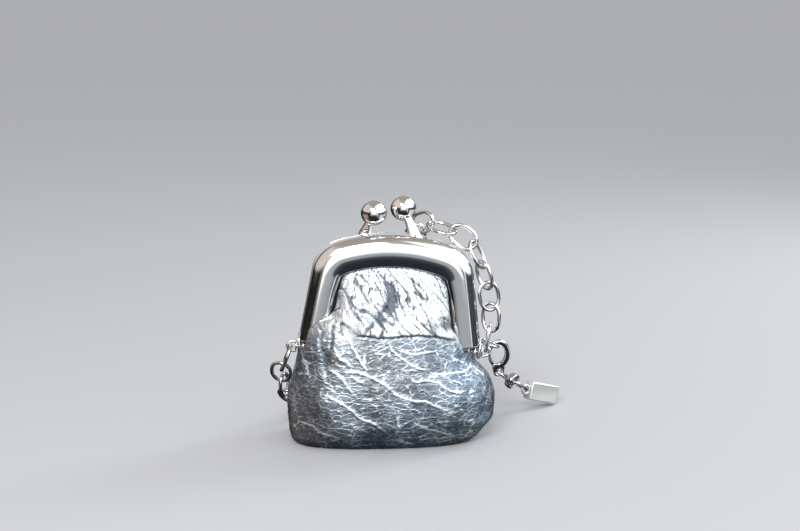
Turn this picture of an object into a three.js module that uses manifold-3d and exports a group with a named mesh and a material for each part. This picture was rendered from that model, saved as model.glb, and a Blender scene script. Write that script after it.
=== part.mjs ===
// Miniature chain clutch bag with a kiss-lock frame.
// A hollow pouch of silver leather hangs in a two-part channel frame, hinged at its lower ends.
// Each half carries a ball on a stem, and an oval-link chain runs from hinge to hinge.
// Millimetres, +Z up, +X to the right seen from the front, front towards -Y.
// The origin is the middle of the flat base, on the surface that the bag stands on.

import * as THREE from "three";
import { mergeVertices } from "three/addons/utils/BufferGeometryUtils.js";
import Module from "manifold-3d";

const wasm = await Module();
wasm.setup();

// ---------------------------------------------------------------- driving dimensions

const GAP = 0.3;                     // clearance between touching pieces

const HINGE = { x: 0.45, z: 19.6 };  // middle between the two hinges
const FRAME_LEAN = THREE.MathUtils.degToRad(2.8);  // the frame sits slightly askew on the pouch

const FRAME = {
  halfWidth: 19.65,                  // outer edge at the hinges
  sideSlope: 0.15,                   // how much the legs close in, per mm of height
  height: 25.2,                      // crest above the hinges
  crestRadius: 37.7,
  shoulderRadius: 8,
  legStart: 2.0,                     // channel's lower end above the hinge axis
  bandTop: 6.6,                      // width of the band at the crest
  bandSide: 5.6,                     // and on the legs
  wall: 0.6,
  steps: 42,
};

const LEATHER = 1.0;                 // leather thickness
const POUCH_FLOOR = 1.2;             // two layers at the base
const TUCKED = 3.05;                 // half-thickness of the pouch where the channel grips it

const EAR = { radius: 1.7, plate: 0.6, hole: 0.8, front: 19.0, back: 18.0 };
const RIVET = { shank: 0.5, head: 1.25, headThick: 0.3, stand: 0.25, eyeOpen: 1.35, eyeHalf: 1.3, wire: 0.3 };

const BALL = { radius: 2.75 };
const LINK = { halfLength: 3.1, halfWidth: 2.1, wire: 0.4, pitch: 5.1 };

// ---------------------------------------------------------------- materials

const silverLeather = new THREE.MeshStandardMaterial({ color: 0xb4bfc8, roughness: 0.45, metalness: 0.7 });
const chrome = new THREE.MeshStandardMaterial({ color: 0xd8d8da, roughness: 0.12, metalness: 1 });
const wireMetal = new THREE.MeshStandardMaterial({ color: 0xc9cbc8, roughness: 0.2, metalness: 1 });
const tagMetal = new THREE.MeshStandardMaterial({ color: 0xd4d8d0, roughness: 0.3, metalness: 0.9 });

// ---------------------------------------------------------------- geometry tools

// Closed skin through rings of equal length, with a flat cap at each end.
function loft(rings) {
  const size = rings[0].length;
  const points = rings.flat();
  const faces = [];
  for (let low = 0; low < points.length - size; low += size) {
    const high = low + size;
    for (let k = 0; k < size; k++) {
      const next = (k + 1) % size;
      faces.push([low + k, low + next, high + next], [low + k, high + next, high + k]);
    }
  }
  faces.push(...cap(rings[0], 0).map(([a, b, c]) => [a, c, b]));
  faces.push(...cap(rings.at(-1), points.length - size));
  if (volume(points, faces) < 0) faces.forEach((face) => face.reverse());
  const geometry = new THREE.BufferGeometry().setFromPoints(points);
  geometry.setIndex(faces.flat());
  return geometry;
}

// Triangles that close a ring, found in the ring's own plane.
function cap(ring, offset) {
  const middle = ring.reduce((sum, p) => sum.add(p), new THREE.Vector3()).divideScalar(ring.length);
  const normal = new THREE.Vector3();
  ring.forEach((p, k) => {
    const next = ring[(k + 1) % ring.length];
    normal.add(p.clone().sub(middle).cross(next.clone().sub(middle)));
  });
  const flat = new THREE.Quaternion().setFromUnitVectors(normal.normalize(), new THREE.Vector3(0, 0, 1));
  const outline = ring.map((p) => {
    const q = p.clone().sub(middle).applyQuaternion(flat);
    return new THREE.Vector2(q.x, q.y);
  });
  return THREE.ShapeUtils.triangulateShape(outline, []).map((face) => face.map((k) => k + offset));
}

function volume(points, faces) {
  let six = 0;
  for (const [a, b, c] of faces) {
    six += points[a].dot(new THREE.Vector3().crossVectors(points[b], points[c]));
  }
  return six / 6;
}

function toSolid(geometry) {
  const bare = geometry.clone();
  for (const name of Object.keys(bare.attributes)) {
    if (name !== "position") bare.deleteAttribute(name);
  }
  const merged = mergeVertices(bare, 1e-4);
  return new wasm.Manifold(new wasm.Mesh({
    numProp: 3,
    vertProperties: merged.attributes.position.array,
    triVerts: Uint32Array.from(merged.index.array),
  }));
}

function toGeometry(solid) {
  const mesh = solid.getMesh();
  const geometry = new THREE.BufferGeometry();
  geometry.setAttribute("position", new THREE.BufferAttribute(mesh.vertProperties, 3));
  geometry.setIndex(new THREE.BufferAttribute(mesh.triVerts, 1));
  return geometry;
}

function joined(...geometries) {
  return toGeometry(geometries.map(toSolid).reduce((sum, solid) => sum.add(solid)));
}

function cut(geometry, ...tools) {
  return toGeometry(tools.map(toSolid).reduce((left, tool) => left.subtract(tool), toSolid(geometry)));
}

function boxBetween(low, high) {
  const size = high.map((value, axis) => value - low[axis]);
  const middle = high.map((value, axis) => (value + low[axis]) / 2);
  return new THREE.BoxGeometry(...size).translate(...middle);
}

// A cylinder along X from one x to another.
function rodAlongX(radius, from, to, sides = 16) {
  const length = Math.abs(to - from);
  return new THREE.CylinderGeometry(radius, radius, length, sides)
    .rotateZ(Math.PI / 2)
    .translate((from + to) / 2, 0, 0);
}

// A round wire along an open curve.
function wireAlong(curve, radius, steps, sides = 8) {
  const section = new THREE.Shape();
  for (let k = 0; k < sides; k++) {
    const angle = (k / sides) * 2 * Math.PI;
    const move = k === 0 ? "moveTo" : "lineTo";
    section[move](radius * Math.cos(angle), radius * Math.sin(angle));
  }
  return new THREE.ExtrudeGeometry(section, { steps, extrudePath: curve, curveSegments: 1 });
}

function addPiece(parent, name, geometry, material) {
  const mesh = new THREE.Mesh(geometry, material);
  mesh.name = name;
  parent.add(mesh);
  return mesh;
}

const bag = new THREE.Group();

// Everything on the frame is built in the frame's own axes: x across, y through, z above the hinges.
const frameGroup = new THREE.Group();
frameGroup.position.set(HINGE.x, 0, HINGE.z);
frameGroup.rotation.y = FRAME_LEAN;
bag.add(frameGroup);

// ---------------------------------------------------------------- leather pouch

// One row for each height: left and right edge of what the frame grips, half-depth of the belly,
// half-width between the channel's lips, left and right reach of the belly in front of the frame,
// and how far forward it starts. Below the hinges the leather is one plain rounded shape.
const POUCH_ROWS = [
  { z: 0.0, left: -19.8, right: 18.2, depth: 8.6, neck: 12.1, spillLeft: -19.8, spillRight: 18.2, shelf: 2.4 },
  { z: 1.0, left: -20.7, right: 19.4, depth: 9.8, neck: 12.1, spillLeft: -20.7, spillRight: 19.4, shelf: 2.4 },
  { z: 2.8, left: -21.1, right: 20.9, depth: 10.7, neck: 12.1, spillLeft: -21.1, spillRight: 20.9, shelf: 2.4 },
  { z: 6.0, left: -21.3, right: 23.0, depth: 11.4, neck: 12.1, spillLeft: -21.3, spillRight: 23.0, shelf: 2.4 },
  { z: 9.5, left: -21.3, right: 23.2, depth: 11.5, neck: 12.1, spillLeft: -21.3, spillRight: 23.2, shelf: 2.4 },
  { z: 13.0, left: -20.7, right: 22.2, depth: 11.1, neck: 12.1, spillLeft: -20.7, spillRight: 22.2, shelf: 2.4 },
  { z: 15.4, left: -19.9, right: 20.8, depth: 10.7, neck: 12.1, spillLeft: -19.9, spillRight: 20.8, shelf: 2.4 },
  { z: 17.0, left: -18.2, right: 18.1, depth: 10.3, neck: 15.8, spillLeft: -19.5, spillRight: 19.5, shelf: 2.4 },
  { z: 18.4, left: -16.4, right: 17.3, depth: 10.1, neck: 15.8, spillLeft: -19.1, spillRight: 18.3, shelf: 2.4 },
  { z: 19.9, left: -16.3, right: 17.2, depth: 9.85, neck: 15.8, spillLeft: -18.9, spillRight: 17.4, shelf: 2.4 },
  { z: 20.4, left: -16.3, right: 17.2, depth: 9.75, neck: 12.3, spillLeft: -19.6, spillRight: 17.6, shelf: 4.95 },
  { z: 24.2, left: -16.4, right: 17.3, depth: 8.9, neck: 12.4, spillLeft: -18.9, spillRight: 15.4, shelf: 4.95 },
  { z: 25.8, left: -16.4, right: 17.3, depth: 8.5, neck: 12.3, spillLeft: -16.9, spillRight: 13.9, shelf: 4.95 },
  { z: 27.6, left: -16.3, right: 17.2, depth: 8.1, neck: 12.2, spillLeft: -13.4, spillRight: 13.4, shelf: 4.95 },
  { z: 30.6, left: -15.9, right: 16.8, depth: 7.0, neck: 11.8, spillLeft: -11.6, spillRight: 12.5, shelf: 4.95 },
  { z: 33.8, left: -15.3, right: 16.2, depth: 5.6, neck: 11.3, spillLeft: -10.9, spillRight: 11.8, shelf: 4.3 },
  { z: 36.2, left: -14.5, right: 15.4, depth: 4.2, neck: 10.3, spillLeft: -9.9, spillRight: 10.8, shelf: 3.6 },
  { z: 38.0, left: -13.7, right: 14.6, depth: 3.2, neck: 8.0, spillLeft: -7.6, spillRight: 8.5, shelf: 3.4 },
  { z: 41.6, left: -10.6, right: 11.5, depth: 2.0, neck: 4.0, spillLeft: -3.6, spillRight: 4.5, shelf: 3.4 },
];
const BELLY_STEPS = 10;              // from the belly's edge to its middle, on each quarter
const BELLY_POWER = 2.7;
const THROAT_POWER = 4.5;
const GRIP_POWER = 8;

function superellipse(offset, reach, depth, power) {
  const share = Math.min(1, Math.abs(offset / reach));
  return depth * (1 - share ** power) ** (1 / power);
}

// The frame's lean, reached smoothly over the stretch below the hinges.
function leanWithFrame(point) {
  const share = THREE.MathUtils.smoothstep(point.z, HINGE.z - 6, HINGE.z);
  const pivot = new THREE.Vector3(HINGE.x, 0, HINGE.z);
  return point.sub(pivot).applyAxisAngle(new THREE.Vector3(0, 1, 0), FRAME_LEAN * share).add(pivot);
}

// A quarter of one row's outline as [across, forward], from the side seam to the middle.
function pouchQuarter(row, gripReach, spillReach, inset) {
  const power = THREE.MathUtils.lerp(BELLY_POWER, THROAT_POWER, THREE.MathUtils.smoothstep(row.z, 24, 31));
  const gripped = THREE.MathUtils.smoothstep(row.z, HINGE.z - 4.2, HINGE.z - 1.9);
  const aboveHinges = row.z > HINGE.z - 1.5;
  const shelf = row.shelf + (aboveHinges ? inset : 0);
  const depth = row.depth - inset;
  const reach = spillReach - inset * 1.2;
  const gripDepth = Math.min(TUCKED, row.shelf - 0.3) - inset;
  const neck = row.neck - inset;
  const grip = gripReach - inset;

  const start = Math.min(shelf, depth * 0.85);
  const points = [];
  for (const share of [0, 0.6, 0.92, 1]) {
    const forward = gripDepth * share;
    const plain = superellipse(forward, depth, reach, power);
    const held = Math.max(neck, superellipse(forward * 0.985, gripDepth, grip, GRIP_POWER));
    points.push([THREE.MathUtils.lerp(plain, held, gripped), forward]);
  }
  for (const share of [0.1, 0.8]) {
    const forward = THREE.MathUtils.lerp(gripDepth, Math.max(start, gripDepth), share);
    const plain = superellipse(forward, depth, reach, power);
    points.push([THREE.MathUtils.lerp(plain, neck, gripped), forward]);
  }
  const edge = superellipse(start, depth, reach, power);
  const belly = new THREE.Path();
  belly.moveTo(edge, start);
  for (let k = 1; k <= 40; k++) {
    const angle = THREE.MathUtils.lerp(Math.asin((start / depth) ** (power / 2)), Math.PI / 2, k / 40);
    belly.lineTo(reach * Math.max(0, Math.cos(angle)) ** (2 / power), depth * Math.sin(angle) ** (2 / power));
  }
  for (const point of belly.getSpacedPoints(BELLY_STEPS)) {
    const held = aboveHinges ? superellipse(point.x, grip, TUCKED - inset, GRIP_POWER) : 0;
    points.push([point.x, Math.max(point.y, held)]);
  }
  return points;
}

function pouchRing(row, inset, height = row.z) {
  const middle = (row.left + row.right) / 2;
  const half = (row.right - row.left) / 2;
  const quarters = [row.spillLeft, row.spillRight].map((spill) => (
    pouchQuarter(row, half, Math.abs(spill - middle), inset)
  ));
  const [left, right] = quarters;
  const ring = [
    ...left.map(([across, forward]) => [-across, -forward]),
    ...right.slice(0, -1).reverse().map(([across, forward]) => [across, -forward]),
    ...right.slice(1).map(([across, forward]) => [across, forward]),
    ...left.slice(1, -1).reverse().map(([across, forward]) => [-across, forward]),
  ];
  return ring.map(([x, y]) => leanWithFrame(new THREE.Vector3(middle + x, y, height)));
}

function pouchGeometry() {
  const outside = POUCH_ROWS.map((row) => pouchRing(row, 0));
  const inside = POUCH_ROWS.slice(2).reverse().map((row) => pouchRing(row, LEATHER));
  const floor = pouchRing(POUCH_ROWS[1], LEATHER, POUCH_FLOOR);
  return loft([...outside, ...inside, floor]);
}

addPiece(bag, "leather_pouch", pouchGeometry(), silverLeather);

// ---------------------------------------------------------------- kiss-lock frame

// The frame's outer edge: straight legs, round shoulders and a shallow arched crest.
function frameEdge() {
  const { halfWidth, sideSlope, height, crestRadius, shoulderRadius, legStart } = FRAME;
  const crestCentre = height - crestRadius;
  const slant = Math.hypot(1, sideSlope);
  const inner = halfWidth - shoulderRadius * slant;
  const reach = crestRadius - shoulderRadius;
  const half = inner * sideSlope + crestCentre;
  const root = half ** 2 - slant ** 2 * (inner ** 2 + crestCentre ** 2 - reach ** 2);
  const shoulder = new THREE.Vector2();
  shoulder.y = (half + Math.sqrt(root)) / slant ** 2;
  shoulder.x = inner - sideSlope * shoulder.y;
  const legAngle = Math.atan(sideSlope);
  const crestAngle = Math.atan2(shoulder.y - crestCentre, shoulder.x);
  const edge = new THREE.Path();
  edge.moveTo(-(halfWidth - sideSlope * legStart), legStart);
  edge.lineTo(
    -(shoulder.x + shoulderRadius * Math.cos(legAngle)),
    shoulder.y + shoulderRadius * Math.sin(legAngle),
  );
  edge.absarc(-shoulder.x, shoulder.y, shoulderRadius, Math.PI - legAngle, Math.PI - crestAngle, true);
  edge.absarc(0, crestCentre, crestRadius, Math.PI - crestAngle, crestAngle, true);
  edge.absarc(shoulder.x, shoulder.y, shoulderRadius, crestAngle, legAngle, true);
  edge.lineTo(halfWidth - sideSlope * legStart, legStart);
  return edge;
}

// Half-round channel of the front half: inward from the outer edge, and forward from the joint.
const CHANNEL = [
  { inward: 0.0, forward: 0.15 },
  { inward: 0.0, forward: 1.9 },
  { inward: 0.35, forward: 3.2 },
  { inward: 1.2, forward: 4.1 },
  { inward: 2.5, forward: 4.55 },
  { inward: 4.0, forward: 4.6 },
  { inward: 5.4, forward: 4.35 },
  { inward: 6.4, forward: 3.95 },
  { inward: 6.4, forward: 3.4 },
  { inward: 5.2, forward: 3.75 },
  { inward: 4.0, forward: 4.0 },
  { inward: 2.7, forward: 3.95 },
  { inward: 1.65, forward: 3.55 },
  { inward: 0.95, forward: 2.8 },
  { inward: FRAME.wall, forward: 1.7 },
  { inward: FRAME.wall, forward: 0.15 },
];
const CHANNEL_DEPTH = 6.4;

function channelGeometry(side) {
  const edge = frameEdge();
  const rings = [];
  for (let step = 0; step <= FRAME.steps; step++) {
    const share = step / FRAME.steps;
    const point = edge.getPointAt(share);
    const along = edge.getTangentAt(share);
    const outward = new THREE.Vector2(-along.y, along.x);
    const rise = THREE.MathUtils.smoothstep(point.y, 12, 23);
    const band = THREE.MathUtils.lerp(FRAME.bandSide, FRAME.bandTop, rise);
    rings.push(CHANNEL.map(({ inward, forward }) => {
      const depth = inward <= FRAME.wall ? inward : (inward / CHANNEL_DEPTH) * band;
      const place = point.clone().addScaledVector(outward, -depth);
      return new THREE.Vector3(place.x, side * forward, place.y);
    }));
  }
  return loft(rings);
}

// A hinge ear: a round plate across the rivet's axis, with a neck up into the channel's side wall.
function earGeometry(hand, side, inner) {
  const outer = inner + EAR.plate;
  const plate = rodAlongX(EAR.radius, hand * inner, hand * outer, 20);
  const neckEdge = side * 0.15;
  const neckSide = side * EAR.radius;
  const neckLow = Math.min(neckEdge, neckSide);
  const neckHigh = Math.max(neckEdge, neckSide);
  const left = Math.min(hand * inner, hand * outer);
  const right = Math.max(hand * inner, hand * outer);
  const neck = boxBetween([left, neckLow, 0], [right, neckHigh, FRAME.legStart + 1.2]);
  const reach = FRAME.halfWidth - FRAME.sideSlope * FRAME.legStart - 0.1;
  const bridgeLeft = Math.min(hand * inner, hand * reach);
  const bridgeRight = Math.max(hand * inner, hand * reach);
  const bridge = boxBetween(
    [bridgeLeft, neckLow, FRAME.legStart + 0.4],
    [bridgeRight, neckHigh, FRAME.legStart + 1.2],
  );
  return { plate, neck, bridge };
}

function frameHalfGeometry(side, earInner) {
  const pieces = [channelGeometry(side)];
  const holes = [];
  for (const hand of [-1, 1]) {
    const ear = earGeometry(hand, side, earInner);
    pieces.push(ear.plate, ear.neck, ear.bridge);
    holes.push(rodAlongX(EAR.hole, hand * (earInner - 1), hand * (earInner + EAR.plate + 1), 20));
  }
  return cut(joined(...pieces), ...holes);
}

// ---------------------------------------------------------------- balls on their stems

// The stem stands on the roof of one half and leans over the joint, so the balls pass each other.
const STEMS = {
  front: { foot: [6.0, -1.9], ball: [3.55, 0.9, 50.0] },
  back: { foot: [-4.9, 1.9], ball: [-2.8, -0.9, 49.3] },
};
const STEM = { footWide: 3.0, footDeep: 1.6, neckWide: 1.7, neckDeep: 1.5, sunk: 0.35 };

// Height of the frame's roof above the base, at a place across the bag.
function crestHeight(x) {
  const across = x - HINGE.x - FRAME.height * Math.sin(FRAME_LEAN);
  const rise = FRAME.height - FRAME.crestRadius + Math.sqrt(FRAME.crestRadius ** 2 - across ** 2);
  return HINGE.z + rise * Math.cos(FRAME_LEAN) - across * Math.sin(FRAME_LEAN);
}

frameGroup.updateMatrixWorld();
const intoFrame = frameGroup.matrixWorld.clone().invert();

function stemGeometry({ foot, ball }) {
  const top = new THREE.Vector3(...ball);
  const bottom = new THREE.Vector3(foot[0], foot[1], crestHeight(foot[0]) - STEM.sunk);
  const rings = [];
  const levels = 6;
  for (let level = 0; level <= levels; level++) {
    const share = level / levels;
    const reach = (1 - share) ** 2.2;
    const middle = bottom.clone().lerp(top, share * 0.86);
    const wide = THREE.MathUtils.lerp(STEM.neckWide, STEM.footWide, reach) / 2;
    const deep = THREE.MathUtils.lerp(STEM.neckDeep, STEM.footDeep, reach) / 2;
    const ring = [];
    for (let k = 0; k < 12; k++) {
      const angle = (k / 12) * 2 * Math.PI;
      const across = wide * Math.cos(angle);
      const slope = level === 0 ? crestHeight(foot[0] + across) - crestHeight(foot[0]) : 0;
      ring.push(new THREE.Vector3(middle.x + across, middle.y + deep * Math.sin(angle), middle.z + slope));
    }
    rings.push(ring);
  }
  const ballGeometry = new THREE.SphereGeometry(BALL.radius, 20, 14).rotateX(Math.PI / 2).translate(...ball);
  return joined(loft(rings), ballGeometry).applyMatrix4(intoFrame);
}

// Each ball and stem is soldered to its half.
const frontHalf = joined(frameHalfGeometry(-1, EAR.front), stemGeometry(STEMS.front));
const backHalf = joined(frameHalfGeometry(1, EAR.back), stemGeometry(STEMS.back));
addPiece(frameGroup, "frame_front", frontHalf, chrome);
addPiece(frameGroup, "frame_back", backHalf, chrome);

// ---------------------------------------------------------------- hinge rivets with chain eyes

// The shank goes through both ears. Its outer head carries a half-round eye for the chain.
function rivetGeometry(hand) {
  const headIn = EAR.front + EAR.plate + RIVET.stand;
  const headOut = headIn + RIVET.headThick;
  const innerOut = EAR.back - GAP;
  const reach = RIVET.eyeOpen + RIVET.wire;
  const eye = new THREE.CatmullRomCurve3([-90, -60, -30, 0, 30, 60, 90].map((degrees) => {
    const angle = THREE.MathUtils.degToRad(degrees);
    const across = headOut - 0.1 + (reach + 0.1) * Math.cos(angle);
    return new THREE.Vector3(hand * across, 0, (RIVET.eyeHalf - 0.2 * Math.abs(Math.sin(angle))) * Math.sin(angle));
  }));
  return joined(
    rodAlongX(RIVET.shank, hand * (innerOut - 0.1), hand * (headIn + 0.1)),
    rodAlongX(RIVET.shank + 0.4, hand * (innerOut - RIVET.headThick), hand * innerOut),
    rodAlongX(RIVET.head, hand * headIn, hand * headOut, 20),
    wireAlong(eye, RIVET.wire, 14),
  );
}

addPiece(frameGroup, "hinge_rivet_left", rivetGeometry(-1), chrome);
addPiece(frameGroup, "hinge_rivet_right", rivetGeometry(1), chrome);

// ---------------------------------------------------------------- chain

// From the left eye down the flank, over the table behind the bag and up the back panel.
const HIDDEN_ROUTE = [
  { x: -21.6, y: 0.4, z: 17.8 },
  { x: -22.8, y: 3.4, z: 13.9 },
  { x: -22.0, y: 7.0, z: 9.6 },
  { x: -20.8, y: 11.0, z: 5.4 },
  { x: -18.6, y: 15.4, z: 3.1 },
  { x: -14.6, y: 19.2, z: 2.65 },
  { x: -8.6, y: 20.1, z: 2.65 },
  { x: -1.5, y: 17.5, z: 2.65 },
  { x: 4.6, y: 15.3, z: 4.6 },
  { x: 6.6, y: 14.6, z: 9.0 },
  { x: 7.0, y: 13.8, z: 15.0 },
  { x: 7.1, y: 12.6, z: 21.0 },
  { x: 7.2, y: 11.5, z: 27.0 },
  { x: 7.2, y: 9.9, z: 33.0 },
  { x: 6.6, y: 8.3, z: 38.0 },
  { x: 6.5, y: 6.5, z: 43.0 },
];
const FIRST_LINK_FACES = new THREE.Vector3(-0.9, 0, 0.43);
const QUARTER_TURN = THREE.MathUtils.degToRad(92);   // a loose chain winds a little

// The stretch in view, one row for each link: over the crest and down the right leg.
// Each link faces the way its row gives, then turns about its own length.
const FACING = {
  up: new THREE.Vector3(0, -0.3, 1),
  front: new THREE.Vector3(0, -1, 0),
};
const VISIBLE_LINKS = [
  { x: 7.9, y: 3.8, z: 46.35, facing: "up", turn: 80 },
  { x: 11.7, y: 0.8, z: 45.6, facing: "up", turn: 0 },
  { x: 16.2, y: -0.4, z: 43.75, facing: "front", turn: 0 },
  { x: 19.3, y: -0.1, z: 39.9, facing: "front", turn: -60 },
  { x: 20.8, y: 0.0, z: 35.4, facing: "front", turn: 56 },
  { x: 21.9, y: 0.0, z: 30.8, facing: "front", turn: -12 },
  { x: 22.4, y: 0.2, z: 26.1, facing: "front", turn: 42 },
  { x: 21.75, y: 0.1, z: 21.65, facing: "front", turn: 98 },
];

// An oval link lying in its own XY plane, its length along X.
function ovalLinkGeometry({ halfLength, halfWidth, wire }) {
  const geometry = new THREE.TorusGeometry(halfWidth, wire, 6, 14);
  const position = geometry.attributes.position;
  for (let k = 0; k < position.count; k++) {
    const share = position.getX(k) / Math.hypot(position.getX(k), position.getY(k));
    const pull = Math.abs(share) < 1e-6 ? 0 : Math.sign(share) * Math.sqrt(Math.abs(share));
    position.setX(k, position.getX(k) + (halfLength - halfWidth) * pull);
  }
  return geometry;
}

// Stands a mesh at a place, its X along one direction and its Z as near as can be to another.
function stand(mesh, place, along, facing, turn = 0) {
  const length = along.clone().normalize();
  const lift = facing.clone().addScaledVector(length, -facing.dot(length)).normalize();
  const across = new THREE.Vector3().crossVectors(lift, length);
  mesh.quaternion.setFromRotationMatrix(new THREE.Matrix4().makeBasis(length, across, lift));
  mesh.rotateX(THREE.MathUtils.degToRad(turn));
  mesh.position.copy(place);
}

// Middle of the opening in a rivet's eye.
function eyeAt(hand) {
  const reach = EAR.front + EAR.plate + RIVET.stand + RIVET.headThick + RIVET.eyeOpen / 2;
  return new THREE.Vector3(hand * reach, 0, 0)
    .applyAxisAngle(new THREE.Vector3(0, 1, 0), FRAME_LEAN)
    .add(frameGroup.position);
}

// Out of view, links follow the route a pitch apart, and each is a quarter turn from the last.
function chainLinks() {
  const route = new THREE.CatmullRomCurve3(HIDDEN_ROUTE.map(({ x, y, z }) => new THREE.Vector3(x, y, z)));
  const hidden = route.getSpacedPoints(Math.ceil(route.getLength() / LINK.pitch));
  const visible = VISIBLE_LINKS.map(({ x, y, z }) => new THREE.Vector3(x, y, z));
  const places = [...hidden, ...visible];
  const stops = [eyeAt(-1), ...places, eyeAt(1)];
  let facing = FIRST_LINK_FACES.clone();
  return places.map((place, k) => {
    const along = stops[k + 2].clone().sub(stops[k]).normalize();
    const level = facing.clone().addScaledVector(along, -facing.dot(along)).normalize();
    facing = k > 0 ? level.applyAxisAngle(along, QUARTER_TURN) : level;
    const row = VISIBLE_LINKS[k - hidden.length];
    return row
      ? { place, along, facing: FACING[row.facing], turn: row.turn }
      : { place, along, facing: facing.clone(), turn: 0 };
  });
}

const linkShape = ovalLinkGeometry(LINK);
chainLinks().forEach(({ place, along, facing, turn }, k) => {
  const link = addPiece(bag, `chain_link_${String(k + 1).padStart(2, "0")}`, linkShape, wireMetal);
  stand(link, place, along, facing, turn);
});

// ---------------------------------------------------------------- trigger clasp and tag

// A ring round the last link carries the clasp, whose tail holds a short run of links and the tag.
const CLASP = {
  place: new THREE.Vector3(24.6, 3.1, 17.2),
  along: new THREE.Vector3(-0.06, -0.42, 0.9),
  facing: new THREE.Vector3(0, -1, 0),
  halfWide: 2.5,
  halfTall: 3.9,
  holeWide: 1.45,
  holeTall: 2.7,
  tail: 5.2,                         // from the middle of the claw to the tail's hole
  tailRadius: 1.3,
  tailHole: 0.85,
  thick: 1.0,
  bevel: 0.2,
};
const CLASP_RING = { radius: 2.0, wire: 0.3, place: new THREE.Vector3(22.5, 2.65, 19.7) };

function bevelled(shape, thick, bevel, curveSegments) {
  const options = {
    depth: thick - 2 * bevel,
    bevelThickness: bevel,
    bevelSize: bevel,
    bevelOffset: -bevel,
    bevelSegments: 1,
    curveSegments,
  };
  return new THREE.ExtrudeGeometry(shape, options).translate(0, 0, bevel - thick / 2);
}

// Part of an oval ring between two directions, in degrees, drawn with its length along X.
function ringPart(from, to, grow = 0) {
  const start = THREE.MathUtils.degToRad(from);
  const end = THREE.MathUtils.degToRad(to);
  const shape = new THREE.Shape();
  shape.absellipse(0, 0, CLASP.halfTall - grow, CLASP.halfWide - grow, start, end, false);
  shape.absellipse(0.1, 0.15, CLASP.holeTall + grow, CLASP.holeWide + grow, end, start, true);
  return shape;
}

function claspBody() {
  const tail = new THREE.Shape();
  tail.moveTo(-CLASP.holeTall - 0.3, -1.4).lineTo(-CLASP.holeTall - 0.3, 1.2);
  tail.lineTo(-CLASP.tail, CLASP.tailRadius);
  tail.absarc(-CLASP.tail, 0, CLASP.tailRadius, Math.PI / 2, 1.5 * Math.PI, false);
  const hole = new THREE.CylinderGeometry(CLASP.tailHole, CLASP.tailHole, 4, 16)
    .rotateX(Math.PI / 2)
    .translate(-CLASP.tail, 0, 0);
  const hook = bevelled(ringPart(-178, 62), CLASP.thick, CLASP.bevel, 14);
  return cut(joined(hook, bevelled(tail, CLASP.thick * 0.7, CLASP.bevel, 8)), hole);
}

function stood(geometry, name, material, { place, along, facing }, turn = 0) {
  const mesh = addPiece(bag, name, geometry, material);
  stand(mesh, place, along, facing, turn);
  return mesh;
}

stood(new THREE.TorusGeometry(CLASP_RING.radius, CLASP_RING.wire, 6, 20), "clasp_ring", wireMetal, {
  place: CLASP_RING.place,
  along: new THREE.Vector3(0.94, 0, -0.33),
  facing: new THREE.Vector3(0.33, 0, 0.94),
});
stood(claspBody(), "clasp_hook", chrome, CLASP);
stood(bevelled(ringPart(71, 146, 0.1), CLASP.thick * 0.7, CLASP.bevel / 2, 8), "clasp_lever", chrome, CLASP);

const TAG = {
  long: 8.6,
  tall: 4.2,
  thick: 2.4,
  bevel: 0.3,
  low: new THREE.Vector3(41.0, 20.6, 0.15),      // lower front corner, at the free end
  near: new THREE.Vector3(33.7, 16.0, 2.8),      // lower front corner, at the loop
  loop: { radius: 1.0, wire: 0.3 },
};
// Small links and a broad band between the clasp's tail and the tag, by distance along the run.
const SMALL_LINK = ovalLinkGeometry({ halfLength: 3.75, halfWidth: 1.6, wire: 0.27 });
const BAND = [
  new THREE.Vector2(1.3, -0.55),
  new THREE.Vector2(1.65, -0.7),
  new THREE.Vector2(1.85, -0.4),
  new THREE.Vector2(1.85, 0.4),
  new THREE.Vector2(1.65, 0.7),
  new THREE.Vector2(1.3, 0.55),
  new THREE.Vector2(1.3, -0.55),
];
const TAG_RUN = [
  { name: "tag_link_upper", shape: SMALL_LINK, at: 3.55, turn: 0 },
  { name: "tag_band", shape: new THREE.LatheGeometry(BAND, 20).rotateX(Math.PI / 2), at: 7.8, turn: 82 },
  { name: "tag_link_lower", shape: SMALL_LINK, at: 12.15, turn: -20 },
];

const tagAlong = TAG.low.clone().sub(TAG.near).normalize();
const tagFacing = new THREE.Vector3().crossVectors(new THREE.Vector3(0, 0, 1), tagAlong).normalize();
const tagUp = new THREE.Vector3().crossVectors(tagAlong, tagFacing);
const tagEnd = TAG.near.clone()
  .addScaledVector(tagUp, TAG.tall / 2)
  .addScaledVector(tagFacing, TAG.thick / 2);

function tagGeometry() {
  const outline = new THREE.Shape();
  outline.moveTo(0, -TAG.tall / 2).lineTo(TAG.long, -TAG.tall / 2);
  outline.lineTo(TAG.long, TAG.tall / 2).lineTo(0, TAG.tall / 2);
  const loop = new THREE.TorusGeometry(TAG.loop.radius, TAG.loop.wire, 6, 14).translate(-0.8, 0, 0);
  return joined(bevelled(outline, TAG.thick, TAG.bevel, 1), loop);
}

stood(tagGeometry(), "metal_tag", tagMetal, { place: tagEnd, along: tagAlong, facing: tagFacing });

const claspTail = CLASP.place.clone().addScaledVector(CLASP.along.clone().normalize(), -CLASP.tail);
const tagHole = tagEnd.clone().addScaledVector(tagAlong, -0.8);
const runAlong = tagHole.clone().sub(claspTail).normalize();
const runFacing = new THREE.Vector3().crossVectors(runAlong, CLASP.facing).normalize();
for (const { name, shape, at, turn } of TAG_RUN) {
  const place = claspTail.clone().addScaledVector(runAlong, at);
  stood(shape, name, wireMetal, { place, along: runAlong, facing: runFacing }, turn);
}

export default bag;
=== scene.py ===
# Miniature chain clutch bag: a silver leather pouch in a chromed kiss-lock frame, with its chain.
# Lengths are in millimetres until a mesh is made, which is where they become metres.

import math
from functools import partial, partialmethod

import bmesh
import bpy
import numpy as np
from mathutils import Matrix, Vector, noise


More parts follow.
